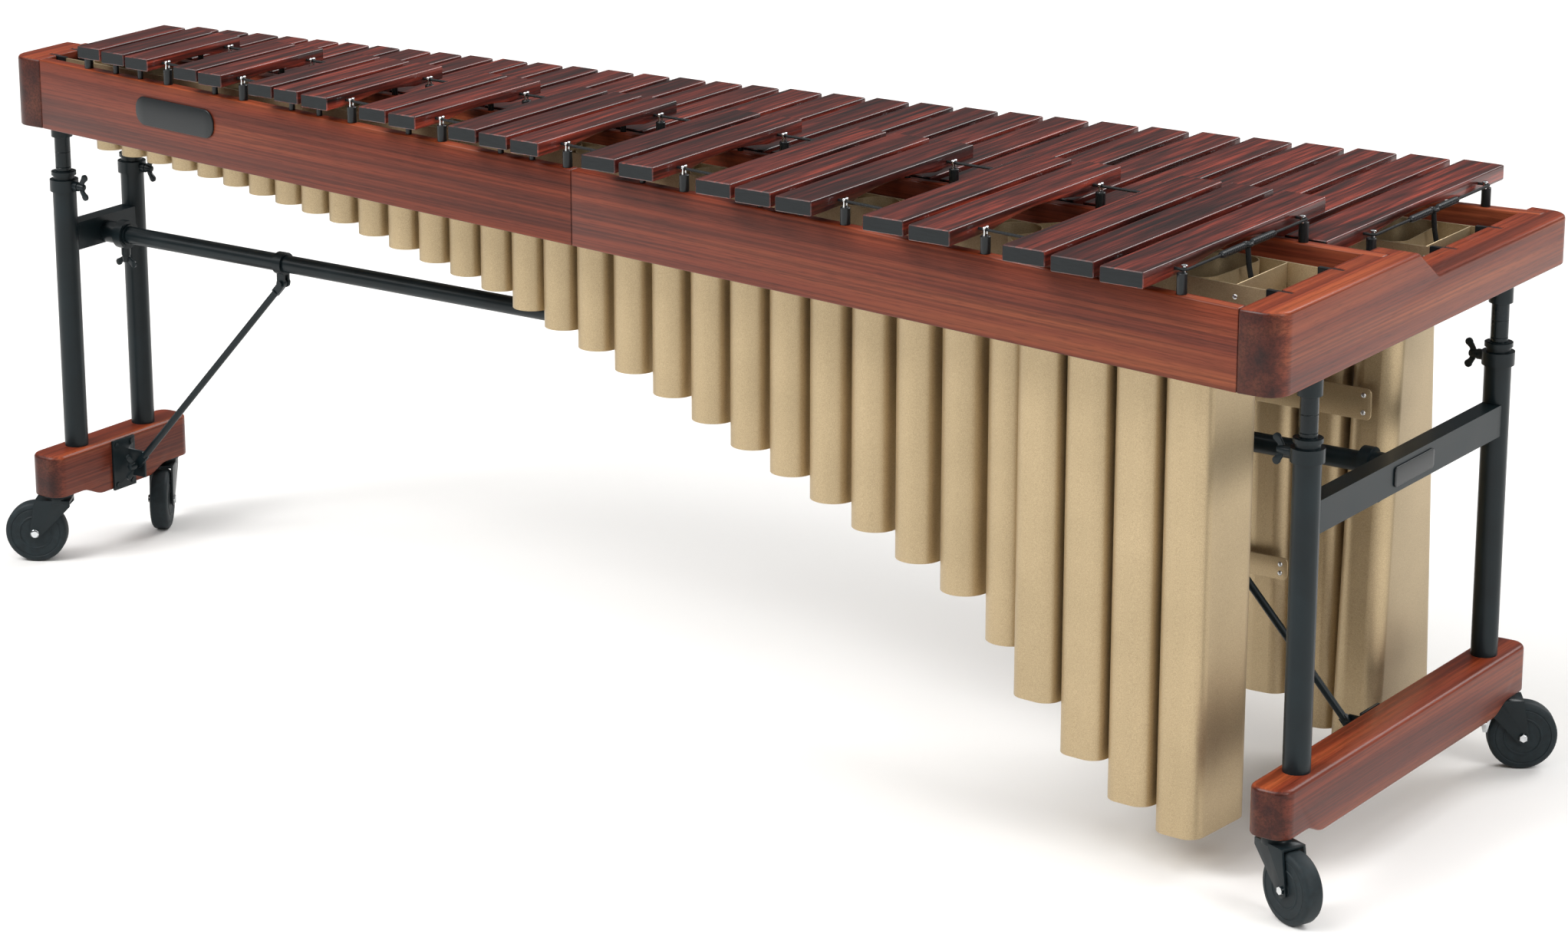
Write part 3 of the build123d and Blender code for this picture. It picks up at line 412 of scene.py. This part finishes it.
def bridge(mesh, rings, slot=0, capped=True):
    """Skin successive rings of equal count, with end caps."""
    count = len(rings[0])
    for first, second in zip(rings, rings[1:]):
        for i in range(count):
            j = (i + 1) % count
            mesh.faces.new((first[i], first[j], second[j], second[i])).material_index = slot
    if capped:
        mesh.faces.new(rings[0][::-1]).material_index = slot
        mesh.faces.new(rings[-1]).material_index = slot


def turned(mesh, place, profile, slot=0, count=24, closed=False):
    """Turn a (radius, height) profile in millimetres about the local Z of a placing matrix."""
    rings = []
    for radius, height in profile:
        points = [place @ (Vector((radius * math.cos(a), radius * math.sin(a), height)) * MM)
                  for a in (2 * math.pi * i / count for i in range(count))]
        rings.append(add_ring(mesh, points))
    if closed:
        rings.append(rings[0])
    bridge(mesh, rings, slot, capped=not closed)


def placing(origin, axis):
    """A matrix whose local Z lies along axis and whose local X points as near up as it can."""
    z = Vector(axis).normalized()
    x = Vector((0, 0, 1)) - z * z.z
    if x.length < 0.1:
        x = Vector((1, 0, 0)) - z * z.x
    x.normalize()
    turn = Matrix((x, z.cross(x), z)).transposed().to_4x4()
    return Matrix.Translation(origin) @ turn


SMOOTH_ANGLE = math.radians(38)


def finished_piece(name, mesh, finishes, body, replaced=()):
    """Turn a working mesh into a piece that rides on a body and stands for CAD nodes."""
    bmesh.ops.recalc_face_normals(mesh, faces=mesh.faces)
    data = bpy.data.meshes.new(name)
    mesh.to_mesh(data)
    mesh.free()
    data.polygons.foreach_set("use_smooth", [True] * len(data.polygons))
    data.set_sharp_from_angle(angle=SMOOTH_ANGLE)
    piece = bpy.data.objects.new(name, data)
    bpy.context.scene.collection.objects.link(piece)
    for finish in finishes:
        data.materials.append(FINISHES[finish])
    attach(piece, body)
    if replaced:
        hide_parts(*replaced)
    return piece


FLAT_ANGLE = math.radians(1)
SHARP_ANGLE = math.radians(40)
THICKEST_SHEET = 4 * MM


def eased(node, name, width, finish, body, corner=0.0):
    """A CAD node with its sharp outer edges eased, and its upright sheets' corners rounded."""
    mesh = cad_mesh(node)
    bmesh.ops.dissolve_limit(mesh, angle_limit=FLAT_ANGLE, verts=mesh.verts, edges=mesh.edges)
    if corner:
        across = [e for e in mesh.edges if e.calc_length() < THICKEST_SHEET
                  and abs(e.verts[0].co.y - e.verts[1].co.y) > 0.9 * e.calc_length()]
        bmesh.ops.bevel(mesh, geom=across, offset=corner, segments=6, profile=0.5, affect="EDGES")
    sharp = [e for e in mesh.edges if len(e.link_faces) == 2 and e.is_convex
             and e.calc_face_angle() > SHARP_ANGLE]
    bmesh.ops.bevel(mesh, geom=sharp, offset=width, segments=2, profile=0.5, affect="EDGES",
                    clamp_overlap=True)
    bmesh.ops.triangulate(mesh, faces=[f for f in mesh.faces if len(f.verts) > 4])
    lay_grain(mesh)
    return finished_piece(name, mesh, [finish], body, [node])


def lay_grain(mesh):
    """Store each point's place along and across its piece, so that grain follows a slanting rail."""
    low, high = extent(mesh.verts)
    span = high - low
    slope = 0.0
    if span.x > span.y:
        ends = [[v.co.y for v in mesh.verts if abs(v.co.x - x) < 1 * MM] for x in (low.x, high.x)]
        slope = math.atan2(sum(ends[1]) / len(ends[1]) - sum(ends[0]) / len(ends[0]), span.x)
    turn = Matrix.Rotation(-slope, 3, "Z")
    grain = mesh.verts.layers.float_vector.new("grain_place")
    for vert in mesh.verts:
        vert[grain] = turn @ vert.co


def dress(finish, *names):
    """Give CAD nodes their material."""
    for name in names:
        data = NODES[name].data
        data.materials.clear()
        data.materials.append(FINISHES[finish])


class MarimbaPiece:
    """What every piece operator of the marimba shares."""
    bl_options = {"REGISTER", "UNDO"}


# ---------------------------------------------------------------- bars
EDGE_TURNS = 3
ARCH_STEPS = 12
ARCH_START = 0.24       # share of the bar's length before its tuning arch
END_EASE = 0.6          # easing of a bar's ends, as a share of its long edges' rounding
NEAR_MIDDLE = 0.08      # share of the bar's length either side of its middle
USUAL_ARCH = 6 * MM
SEEDS = (12.9898, 78.233, 37.719)   # factors that scatter the bars' grain and tone


def bar_section(mesh, low, high, y, bottom, inset, round_off):
    """One cross-section of a bar, a rectangle in XZ with rounded corners."""
    x0, x1 = low.x + inset, high.x - inset
    z0, z1 = bottom + inset, high.z - inset
    points = []
    for cx, cz, start in ((x1, z1, 0), (x0, z1, 90), (x0, z0, 180), (x1, z0, 270)):
        sx = -1 if cx == x1 else 1
        sz = -1 if cz == z1 else 1
        for step in range(EDGE_TURNS + 1):
            a = math.radians(start + 90 * step / EDGE_TURNS)
            points.append((cx + round_off * (sx + math.cos(a)), y, cz + round_off * (sz + math.sin(a))))
    return add_ring(mesh, points)


def lay_bar(mesh, low, high, arch, edge):
    """One bar: rounded long edges, painted ends, tuning arch underneath."""
    span = high.y - low.y
    start, stop = low.y + ARCH_START * span, high.y - ARCH_START * span
    ease = edge * END_EASE
    first = len(mesh.faces)
    rings = [bar_section(mesh, low, high, low.y, low.z, ease, edge / 2),
             bar_section(mesh, low, high, low.y + ease, low.z, 0, edge)]
    for step in range(ARCH_STEPS + 1):
        y = start + (stop - start) * step / ARCH_STEPS
        lift = arch * (1 - (2 * step / ARCH_STEPS - 1) ** 2)
        rings.append(bar_section(mesh, low, high, y, low.z + lift, 0, edge))
    rings += [bar_section(mesh, low, high, high.y - ease, low.z, 0, edge),
              bar_section(mesh, low, high, high.y, low.z, ease, edge / 2)]
    bridge(mesh, rings)
    mesh.faces.ensure_lookup_table()
    faces = mesh.faces[first:]
    for face in faces:
        if face.calc_center_median().y < low.y + ease / 3:
            face.material_index = 1
    return faces


def bar_arches(node):
    """Height of each bar's tuning arch, from its lowest midpoint."""
    mesh = cad_mesh(node)
    found = []
    for group in solids(mesh):
        low, high = extent(group)
        middle = (low.y + high.y) / 2
        near = [v.co.z for v in group if abs(v.co.y - middle) < NEAR_MIDDLE * (high.y - low.y)]
        found.append((low, high, min(near, default=low.z + USUAL_ARCH) - low.z))
    mesh.free()
    return found


class MARIMBA_OT_bars(MarimbaPiece, bpy.types.Operator):
    """Cut the rosewood bars with rounded edges, painted ends and tuning arches"""
    bl_idname = "marimba.bars"
    bl_label = "Bars"

    def execute(self, context):
        edge = context.scene.marimba_shape.bar_edge
        for node in ("accidental_bars_low", "accidental_bars_high", "natural_bars_low",
                     "natural_bars_high"):
            mesh = bmesh.new()
            seed = mesh.faces.layers.float_vector.new("bar_seed")
            tone = mesh.faces.layers.float.new("bar_tone")
            for low, high, arch in bar_arches(node):
                number = low.x * 1000 + low.y * 7
                draw = [abs(math.sin(number * k)) for k in SEEDS]
                for face in lay_bar(mesh, low, high, arch, edge):
                    face[seed] = Vector(draw)
                    face[tone] = draw[2]
            name = f"rosewood_{node}"
            finished_piece(name, mesh, ["rosewood", "end_paint"], "table", [node])
        return {"FINISHED"}


# ---------------------------------------------------------------- wooden frame
class MARIMBA_OT_frame(MarimbaPiece, bpy.types.Operator):
    """Ease the edges of the rails and dress the end boards and feet in stained wood"""
    bl_idname = "marimba.wooden_frame"
    bl_label = "Wooden frame"

    def execute(self, context):
        edge = context.scene.marimba_shape.rail_edge
        for node in ("front_rail_low", "front_rail_high", "back_rails", "inner_rails_accidental",
                     "inner_rails_natural"):
            eased(node, f"eased_{node}", edge, "wood_x", "table")
        for node, body in (("end_board_low", "table"), ("end_board_high", "table"),
                           ("foot_low", "stand"), ("foot_high", "stand")):
            eased(node, f"eased_{node}", edge, "wood_y", body)
        return {"FINISHED"}


# ---------------------------------------------------------------- suspension
POST_STEPS = 20
WIDE_POST = 6.0         # a post of a larger radius carries the large balls; all in millimetres
PRONG_R = 1.3
PRONG_FROM_MIDDLE = 3.6 * MM
NARROW_BALL = 2.0
WIDE_SHOWS, NARROW_SHOWS = 13.0, 19.5   # how much of a post its prongs take
PIN_SHOWS = 10.0
SLEEVE_EDGE = 0.8


def post_sleeve(mesh, place, radius, height):
    """The black sleeve of a post, its rim eased."""
    profile = ((radius, 0), (radius, height - SLEEVE_EDGE), (radius - SLEEVE_EDGE, height))
    turned(mesh, place, profile, 0, POST_STEPS)


def prong_post(mesh, low, high, wide_ball):
    """A black sleeve with two upright chrome prongs tipped with balls."""
    middle = (low + high) / 2
    radius = (high.x - low.x) / 2 / MM
    height = (high.z - low.z) / MM
    shows, ball = (WIDE_SHOWS, wide_ball / MM) if radius > WIDE_POST else (NARROW_SHOWS, NARROW_BALL)
    sleeve = height - shows
    post_sleeve(mesh, Matrix.Translation((middle.x, middle.y, low.z)), radius, sleeve)
    centre = height - ball
    profile = [(PRONG_R, sleeve - 2), (PRONG_R, centre - ball * 0.86)]
    profile += [(ball * math.sin(a), centre - ball * math.cos(a))
                for a in (math.radians(d) for d in (40, 70, 90, 115, 140, 165))]
    for side in (-1, 1):
        prong = Matrix.Translation((middle.x, middle.y + side * PRONG_FROM_MIDDLE, low.z))
        turned(mesh, prong, profile, 1, 12)


def corner_post(mesh, low, high, pin_y, stem_y):
    """A corner post: a black sleeve and a chrome pin under a domed cap."""
    radius = (high.x - low.x) / 2 / MM
    height = (high.z - low.z) / MM
    centre = (low.x + high.x) / 2
    sleeve = height - PIN_SHOWS
    post_sleeve(mesh, Matrix.Translation((centre, stem_y, low.z)), radius, sleeve)
    cap = ((3, sleeve - 1), (3, height - 2.4), (4.5, height - 2), (4.3, height - 0.9), (3.2, height - 0.3),
           (1.4, height))
    turned(mesh, Matrix.Translation((centre, pin_y, low.z)), cap, 1, 16)


def post_sets(node):
    """Each post's box and, for the taller corner posts, the Y of its pin and of its stem."""
    mesh = cad_mesh(node)
    found = []
    tallest = max(extent(group)[1].z for group in solids(mesh))
    for group in solids(mesh):
        low, high = extent(group)
        middles = ()
        if high.z > tallest - 0.5 * MM:
            tops = [v.co.y for v in group if v.co.z > high.z - 0.1 * MM]
            stems = [v.co.y for v in group if v.co.z < low.z + 0.1 * MM]
            middles = tuple((min(ends) + max(ends)) / 2 for ends in (tops, stems))
        found.append((low, high, middles))
    mesh.free()
    return found


SHORTEST_SLEEVE = 30.0
SLEEVE_RIBS = 12


def sleeve_profile(radius, span):
    """A tension sleeve's outline: tapered ends and flat-topped grip ribs between them."""
    waist = radius * 0.92
    profile = [(radius * 0.55, 0), (radius * 0.8, 1.5), (waist, 5)]
    for i in range(SLEEVE_RIBS):
        y = 7 + (span - 14) * i / (SLEEVE_RIBS - 1)
        profile += [(waist, y - 1.3), (radius, y - 0.7), (radius, y + 0.7), (waist, y + 1.3)]
    return profile + [(waist, span - 5), (radius * 0.8, span - 1.5), (radius * 0.55, span)]


class MARIMBA_OT_suspension(MarimbaPiece, bpy.types.Operator):
    """Set the cord posts, their chrome prongs, the cords and the tension sleeves"""
    bl_idname = "marimba.suspension"
    bl_label = "Suspension"

    def execute(self, context):
        ball = context.scene.marimba_shape.prong_ball
        for row in ("accidental", "natural"):
            node = f"cord_posts_{row}"
            mesh = bmesh.new()
            for low, high, middles in post_sets(node):
                if middles:
                    corner_post(mesh, low, high, *middles)
                else:
                    prong_post(mesh, low, high, ball)
            finished_piece(f"pronged_{node}", mesh, ["plastic", "chrome"], "table", [node])
        self.tensioners()
        dress("cord", "suspension_cords")
        return {"FINISHED"}

    def tensioners(self):
        """Ribbed grip sleeves and the knuckle ring between them."""
        mesh = bmesh.new()
        for low, high in boxes("cord_tensioners"):
            middle = (low + high) / 2
            radius = (high.x - low.x) / 2 / MM
            span = (high.y - low.y) / MM
            if span > SHORTEST_SLEEVE:
                profile = sleeve_profile(radius, span)
                turned(mesh, placing((middle.x, low.y, middle.z), (0, 1, 0)), profile, 0, 20)
            else:
                tube = (high.z - low.z) / 2 / MM
                round_section = [(radius - tube + tube * math.cos(b), tube * math.sin(b))
                                 for b in (2 * math.pi * k / 12 for k in range(12))]
                turned(mesh, Matrix.Translation(middle), round_section, 0, 28, closed=True)
        finished_piece("ribbed_tension_sleeves", mesh, ["plastic"], "table",
                       ["cord_tensioners"])


# ---------------------------------------------------------------- resonators
CROSS_SCREW_DROPS = (16, 33.5)      # below a cross plate's top, in millimetres
CROSS_SCREW_REACH = 3.3             # out from a cross plate's ends
TIE_SCREW_INSETS = (12, 10)         # from a tie plate's end and from its long edges
THICKEST_CROSS_PLATE = 5 * MM


def pan_screw(mesh, origin, axis, radius):
    """A low domed screw head with a dimple for its recess."""
    place = placing(origin, axis)
    r = radius / MM
    turned(mesh, place, ((r, -0.4), (r, 0.5), (r * 0.86, 1.3), (r * 0.55, 1.8), (r * 0.3, 1.9),
                         (r * 0.18, 0.9)), 0, 20)


class MARIMBA_OT_resonators(MarimbaPiece, bpy.types.Operator):
    """Coat the resonators and their hangers, and set the screws that tie them"""
    bl_idname = "marimba.resonators"
    bl_label = "Resonators"

    def execute(self, context):
        dress("gold", "accidental_round_resonators", "natural_round_resonators",
              "accidental_bass_resonators", "natural_bass_resonators", "accidental_hangers",
              "natural_hangers", "resonator_stoppers")
        shape = context.scene.marimba_shape
        eased("bank_cross_plates", "eased_bank_cross_plates", shape.metal_edge, "gold", "table",
              shape.plate_corner)
        dress("plastic", "hanger_clips")
        mesh = bmesh.new()
        for low, high in boxes("bank_cross_plates"):
            if high.x - low.x < THICKEST_CROSS_PLATE:
                screws = [((low.x + 1 * MM, y + side * CROSS_SCREW_REACH * MM, high.z - drop * MM), side)
                          for side, y in ((-1, low.y), (1, high.y)) for drop in CROSS_SCREW_DROPS]
            else:
                along, across = (inset * MM for inset in TIE_SCREW_INSETS)
                screws = [((high.x - along, low.y, z), -1) for z in (low.z + across, high.z - across)]
            for origin, side in screws:
                pan_screw(mesh, origin, (0, side, 0), shape.screw_head)
        finished_piece("resonator_screws", mesh, ["screw"], "table")
        return {"FINISHED"}


# ---------------------------------------------------------------- stand
WING_BOLTS = ("leg_bolt_low_front", "leg_bolt_low_back", "leg_bolt_high_front", "leg_bolt_high_back",
              "stretcher_bolt_low", "stretcher_bolt_high", "brace_bolt_low", "brace_bolt_high")
FRONT_PLATE_BEVEL, CROSSBAR_PLATE_BEVEL = 1.2 * MM, 1 * MM
BOLT_SHANK = 14.0       # length of screw behind the hub
WING_MIDDLE = Vector((11, 0, 8))
LOBE_PLACE, LOBE_R, LOBE_STEPS = (15.6, 13.2), 5.6, 14
LOBE_SWEEP = (-90, 160)     # degrees round the lobe, from the wing's underside to its top


def wing_outline():
    """Outline of one cast wing in its own plane, in millimetres: waist, then a round lobe."""
    points = [(2.5, 1.5), (8, 3.2)]
    first, last = LOBE_SWEEP
    for i in range(LOBE_STEPS):
        a = math.radians(first + (last - first) * i / (LOBE_STEPS - 1))
        points.append((LOBE_PLACE[0] + LOBE_R * math.cos(a), LOBE_PLACE[1] + LOBE_R * math.sin(a)))
    return points + [(7, 11.5), (2.5, 10.5)]


def cast_wing_bolt(mesh, place):
    """A die-cast wing bolt: tapered hub, two lobed wings and its screw."""
    turned(mesh, place, ((6.5, 0), (6.5, 1.5), (5.6, 8.5), (4.8, 11.5), (3.2, 12.5)), 0, 24)
    turned(mesh, place, ((2.6, -BOLT_SHANK), (3, -BOLT_SHANK + 0.8), (3, 0.5)), 0, 16)
    outline = [Vector((x, 0, z)) for x, z in wing_outline()]
    for side in (-1, 1):
        rings = []
        for y, grow in ((-2, 0.86), (-1.5, 1), (1.5, 1), (2, 0.86)):
            points = [WING_MIDDLE + (point - WING_MIDDLE) * grow for point in outline]
            rings.append(add_ring(mesh, [place @ (Vector((side * p.x, y, p.z)) * MM) for p in points]))
        bridge(mesh, rings)


class MARIMBA_OT_stand(MarimbaPiece, bpy.types.Operator):
    """Coat the stand's tubes, cast the wing bolts and set the plates"""
    bl_idname = "marimba.stand"
    bl_label = "Stand"

    def execute(self, context):
        edge = context.scene.marimba_shape.metal_edge
        dress("black", "outer_leg_tubes", "stretcher_tube", "leg_collars", "board_sockets",
              "stretcher_clamps", "brace_collars", "brace_low", "brace_high", "caster_stems", "crossbar_low",
              "crossbar_high")
        dress("inner_leg", "inner_leg_tubes")
        eased("brace_brackets", "eased_brace_brackets", edge, "black", "stand")
        dress("black", "brace_fasteners")
        eased("front_blank_plate", "bevelled_front_plate", FRONT_PLATE_BEVEL, "plastic", "table")
        eased("crossbar_blank_plate", "bevelled_crossbar_plate", CROSSBAR_PLATE_BEVEL, "plastic", "stand")
        for bolt in WING_BOLTS:
            joint = JOINTS[bolt]
            mesh = bmesh.new()
            cast_wing_bolt(mesh, placing(joint["pos_m"], joint["axis"]))
            node = bolt.replace("_bolt", "_wing_bolt")
            finished_piece(f"cast_{node}", mesh, ["black"], bolt, [node])
        return {"FINISHED"}


# ---------------------------------------------------------------- casters
CORNERS = ("low_front", "low_back", "high_front", "high_back")
LEVER_EASE = 0.7        # share of the metal edge on the thin brake levers
NUT_SIDES, HEAD_SIDES = 6, 20
AXLE_END = ((6.9, 19.75), (6.9, 22), (5.6, 22.95), (2.6, 23), (2.1, 22.85))
WHEEL_STEPS = 64
WHEEL_PROFILE = (
    (4.1, -15), (9, -15), (10, -14), (24.6, -14), (25.6, -15), (27.2, -15), (28.2, -14.2), (38.4, -14.4),
    (39.2, -13.8), (40.4, -13.8), (41.2, -14.6), (45.5, -14), (48.6, -12), (50, -9), (50, 9), (48.6, 12),
    (45.5, 14), (41.2, 14.6), (40.4, 13.8), (39.2, 13.8), (38.4, 14.4), (28.2, 14.2), (27.2, 15),
    (25.6, 15), (24.6, 14), (10, 14), (9, 15), (4.1, 15),
)


class MARIMBA_OT_casters(MarimbaPiece, bpy.types.Operator):
    """Turn the caster wheels and dress the forks, axles and brake levers"""
    bl_idname = "marimba.casters"
    bl_label = "Casters"

    def execute(self, context):
        edge = context.scene.marimba_shape.metal_edge
        for corner in CORNERS:
            joint = JOINTS[f"roll_{corner}"]
            mesh = bmesh.new()
            turned(mesh, placing(joint["pos_m"], joint["axis"]), WHEEL_PROFILE, 0, WHEEL_STEPS, closed=True)
            finished_piece(f"turned_wheel_{corner}", mesh, ["tyre"], f"wheel_{corner}",
                           [f"caster_wheel_{corner}"])
            node = f"caster_fork_{corner}"
            eased(node, f"pressed_fork_{corner}", edge, "black", f"fork_{corner}")
            self.axle(corner, joint)
            if corner.endswith("back"):
                eased(f"brake_lever_{corner}", f"pressed_brake_lever_{corner}", edge * LEVER_EASE,
                      "chrome", f"brake_{corner}")
        return {"FINISHED"}

    def axle(self, corner, joint):
        """The axle bolt's ends: a domed head one side and a nut the other."""
        mesh = bmesh.new()
        for side, sides in ((-1, NUT_SIDES), (1, HEAD_SIDES)):
            end = placing(joint["pos_m"], [side * c for c in joint["axis"]])
            turned(mesh, end, AXLE_END, 0, sides)
        finished_piece(f"axle_bolt_{corner}", mesh, ["chrome"], f"fork_{corner}")


# ---------------------------------------------------------------- stage
FLOOR_SPAN = 120.0
LIGHTS = (      # name, place, aim, size, watts
    ("key", (-3.0, -5.0, 5.5), (0.0, 0.0, 0.5), 2.6, 260),
    ("side", (6.5, -1.0, 3.2), (1.0, 0.0, 0.5), 2.2, 110),
)
SUNS = (        # name, direction of its light, spread in degrees, strength
    ("sky_front", (0.45, 0.75, -1.0), 50, 1.5),
    ("sky_right", (-0.8, 0.35, -0.9), 50, 0.8),
    ("sky_back", (-0.25, -0.8, -0.7), 34, 1.5),
)
CAMERA_PLACE = (3.736, -5.226, 2.297)
CAMERA_PAN = 34.32
CAMERA_TILT = 17.12
CAMERA_LENS = 103.0
SENSOR_WIDTH = 36
FARTHEST_SEEN = 200
SURROUND_STRENGTH = 0.8


def look(direction, place):
    """A matrix for a lamp or camera at place that looks along direction."""
    return Matrix.Translation(place) @ direction.to_track_quat("-Z", "Y").to_matrix().to_4x4()


class MARIMBA_OT_stage(MarimbaPiece, bpy.types.Operator):
    """Lay the floor, hang the soft lights and set the camera"""
    bl_idname = "marimba.stage"
    bl_label = "Stage"

    def execute(self, context):
        scene = context.scene
        mesh = bmesh.new()
        bmesh.ops.create_grid(mesh, x_segments=1, y_segments=1, size=FLOOR_SPAN / 2)
        data = bpy.data.meshes.new("studio_floor")
        mesh.to_mesh(data)
        mesh.free()
        floor = bpy.data.objects.new("studio_floor", data)
        scene.collection.objects.link(floor)
        data.materials.append(studio_floor(scene.marimba_finish))
        for name, place, aim, size, watts in LIGHTS:
            lamp = bpy.data.lights.new(f"{name}_softbox", "AREA")
            lamp.shape = "DISK"
            lamp.size = size
            lamp.energy = watts
            holder = bpy.data.objects.new(f"{name}_softbox", lamp)
            holder.matrix_world = look(Vector(aim) - Vector(place), place)
            scene.collection.objects.link(holder)
        for name, direction, width, strength in SUNS:
            lamp = bpy.data.lights.new(name, "SUN")
            lamp.angle = math.radians(width)
            lamp.energy = strength
            holder = bpy.data.objects.new(name, lamp)
            holder.matrix_world = look(Vector(direction), (0, 0, 5))
            scene.collection.objects.link(holder)
        self.sky(scene)
        self.camera(scene)
        return {"FINISHED"}

    def sky(self, scene):
        """A surround that is dim at the horizon and bright overhead."""
        world = bpy.data.worlds.new("studio_surround")
        world.use_nodes = True
        tree = world.node_tree
        place = add_node(tree, "ShaderNodeTexCoord").outputs["Generated"]
        height = add_node(tree, "ShaderNodeSeparateXYZ", links={0: place}).outputs["Z"]
        glow = add_node(tree, "ShaderNodeValToRGB", links={"Fac": height}, stops=(
            (0.0, times(0.1, WHITE)), (0.35, times(0.16, WHITE)), (0.8, times(0.8, WHITE))))
        background = tree.nodes["Background"]
        tree.links.new(outlet(glow), background.inputs["Color"])
        background.inputs["Strength"].default_value = SURROUND_STRENGTH
        scene.world = world
        scene.view_settings.view_transform = "Standard"

    def camera(self, scene):
        """A long lens looking down on the low end from the audience side."""
        pan, tilt = math.radians(CAMERA_PAN), math.radians(CAMERA_TILT)
        level = math.cos(tilt)
        direction = Vector((-math.sin(pan) * level, math.cos(pan) * level, -math.sin(tilt)))
        lens = bpy.data.cameras.new("view")
        lens.lens = CAMERA_LENS
        lens.sensor_width = SENSOR_WIDTH
        lens.clip_end = FARTHEST_SEEN
        holder = bpy.data.objects.new("view", lens)
        holder.matrix_world = look(direction, CAMERA_PLACE)
        scene.collection.objects.link(holder)
        scene.camera = holder


# ---------------------------------------------------------------- panel and registration
OPERATORS = (MARIMBA_OT_bars, MARIMBA_OT_frame, MARIMBA_OT_suspension, MARIMBA_OT_resonators,
             MARIMBA_OT_stand, MARIMBA_OT_casters, MARIMBA_OT_stage)


class MARIMBA_PT_pieces(bpy.types.Panel):
    """The marimba's pieces, sizes and colours"""
    bl_idname = "MARIMBA_PT_pieces"
    bl_label = "Marimba"
    bl_space_type = "VIEW_3D"
    bl_region_type = "UI"
    bl_category = "Marimba"

    def draw(self, context):
        for operator in OPERATORS:
            self.layout.operator(operator.bl_idname)
        for group in (context.scene.marimba_shape, context.scene.marimba_finish):
            for name in group.__annotations__:
                self.layout.prop(group, name)


CLASSES = (MarimbaFinish, MarimbaShape, *OPERATORS, MARIMBA_PT_pieces)


def register():
    for item in CLASSES:
        bpy.utils.register_class(item)
    bpy.types.Scene.marimba_finish = bpy.props.PointerProperty(type=MarimbaFinish)
    bpy.types.Scene.marimba_shape = bpy.props.PointerProperty(type=MarimbaShape)


def unregister():
    del bpy.types.Scene.marimba_shape
    del bpy.types.Scene.marimba_finish
    for item in reversed(CLASSES):
        bpy.utils.unregister_class(item)


def main():
    """Build every piece in order."""
    register()
    make_finishes()
    for operator in (bpy.ops.marimba.bars, bpy.ops.marimba.wooden_frame, bpy.ops.marimba.suspension,
                     bpy.ops.marimba.resonators, bpy.ops.marimba.stand, bpy.ops.marimba.casters,
                     bpy.ops.marimba.stage):
        operator()


if __name__ == "__main__":
    main()
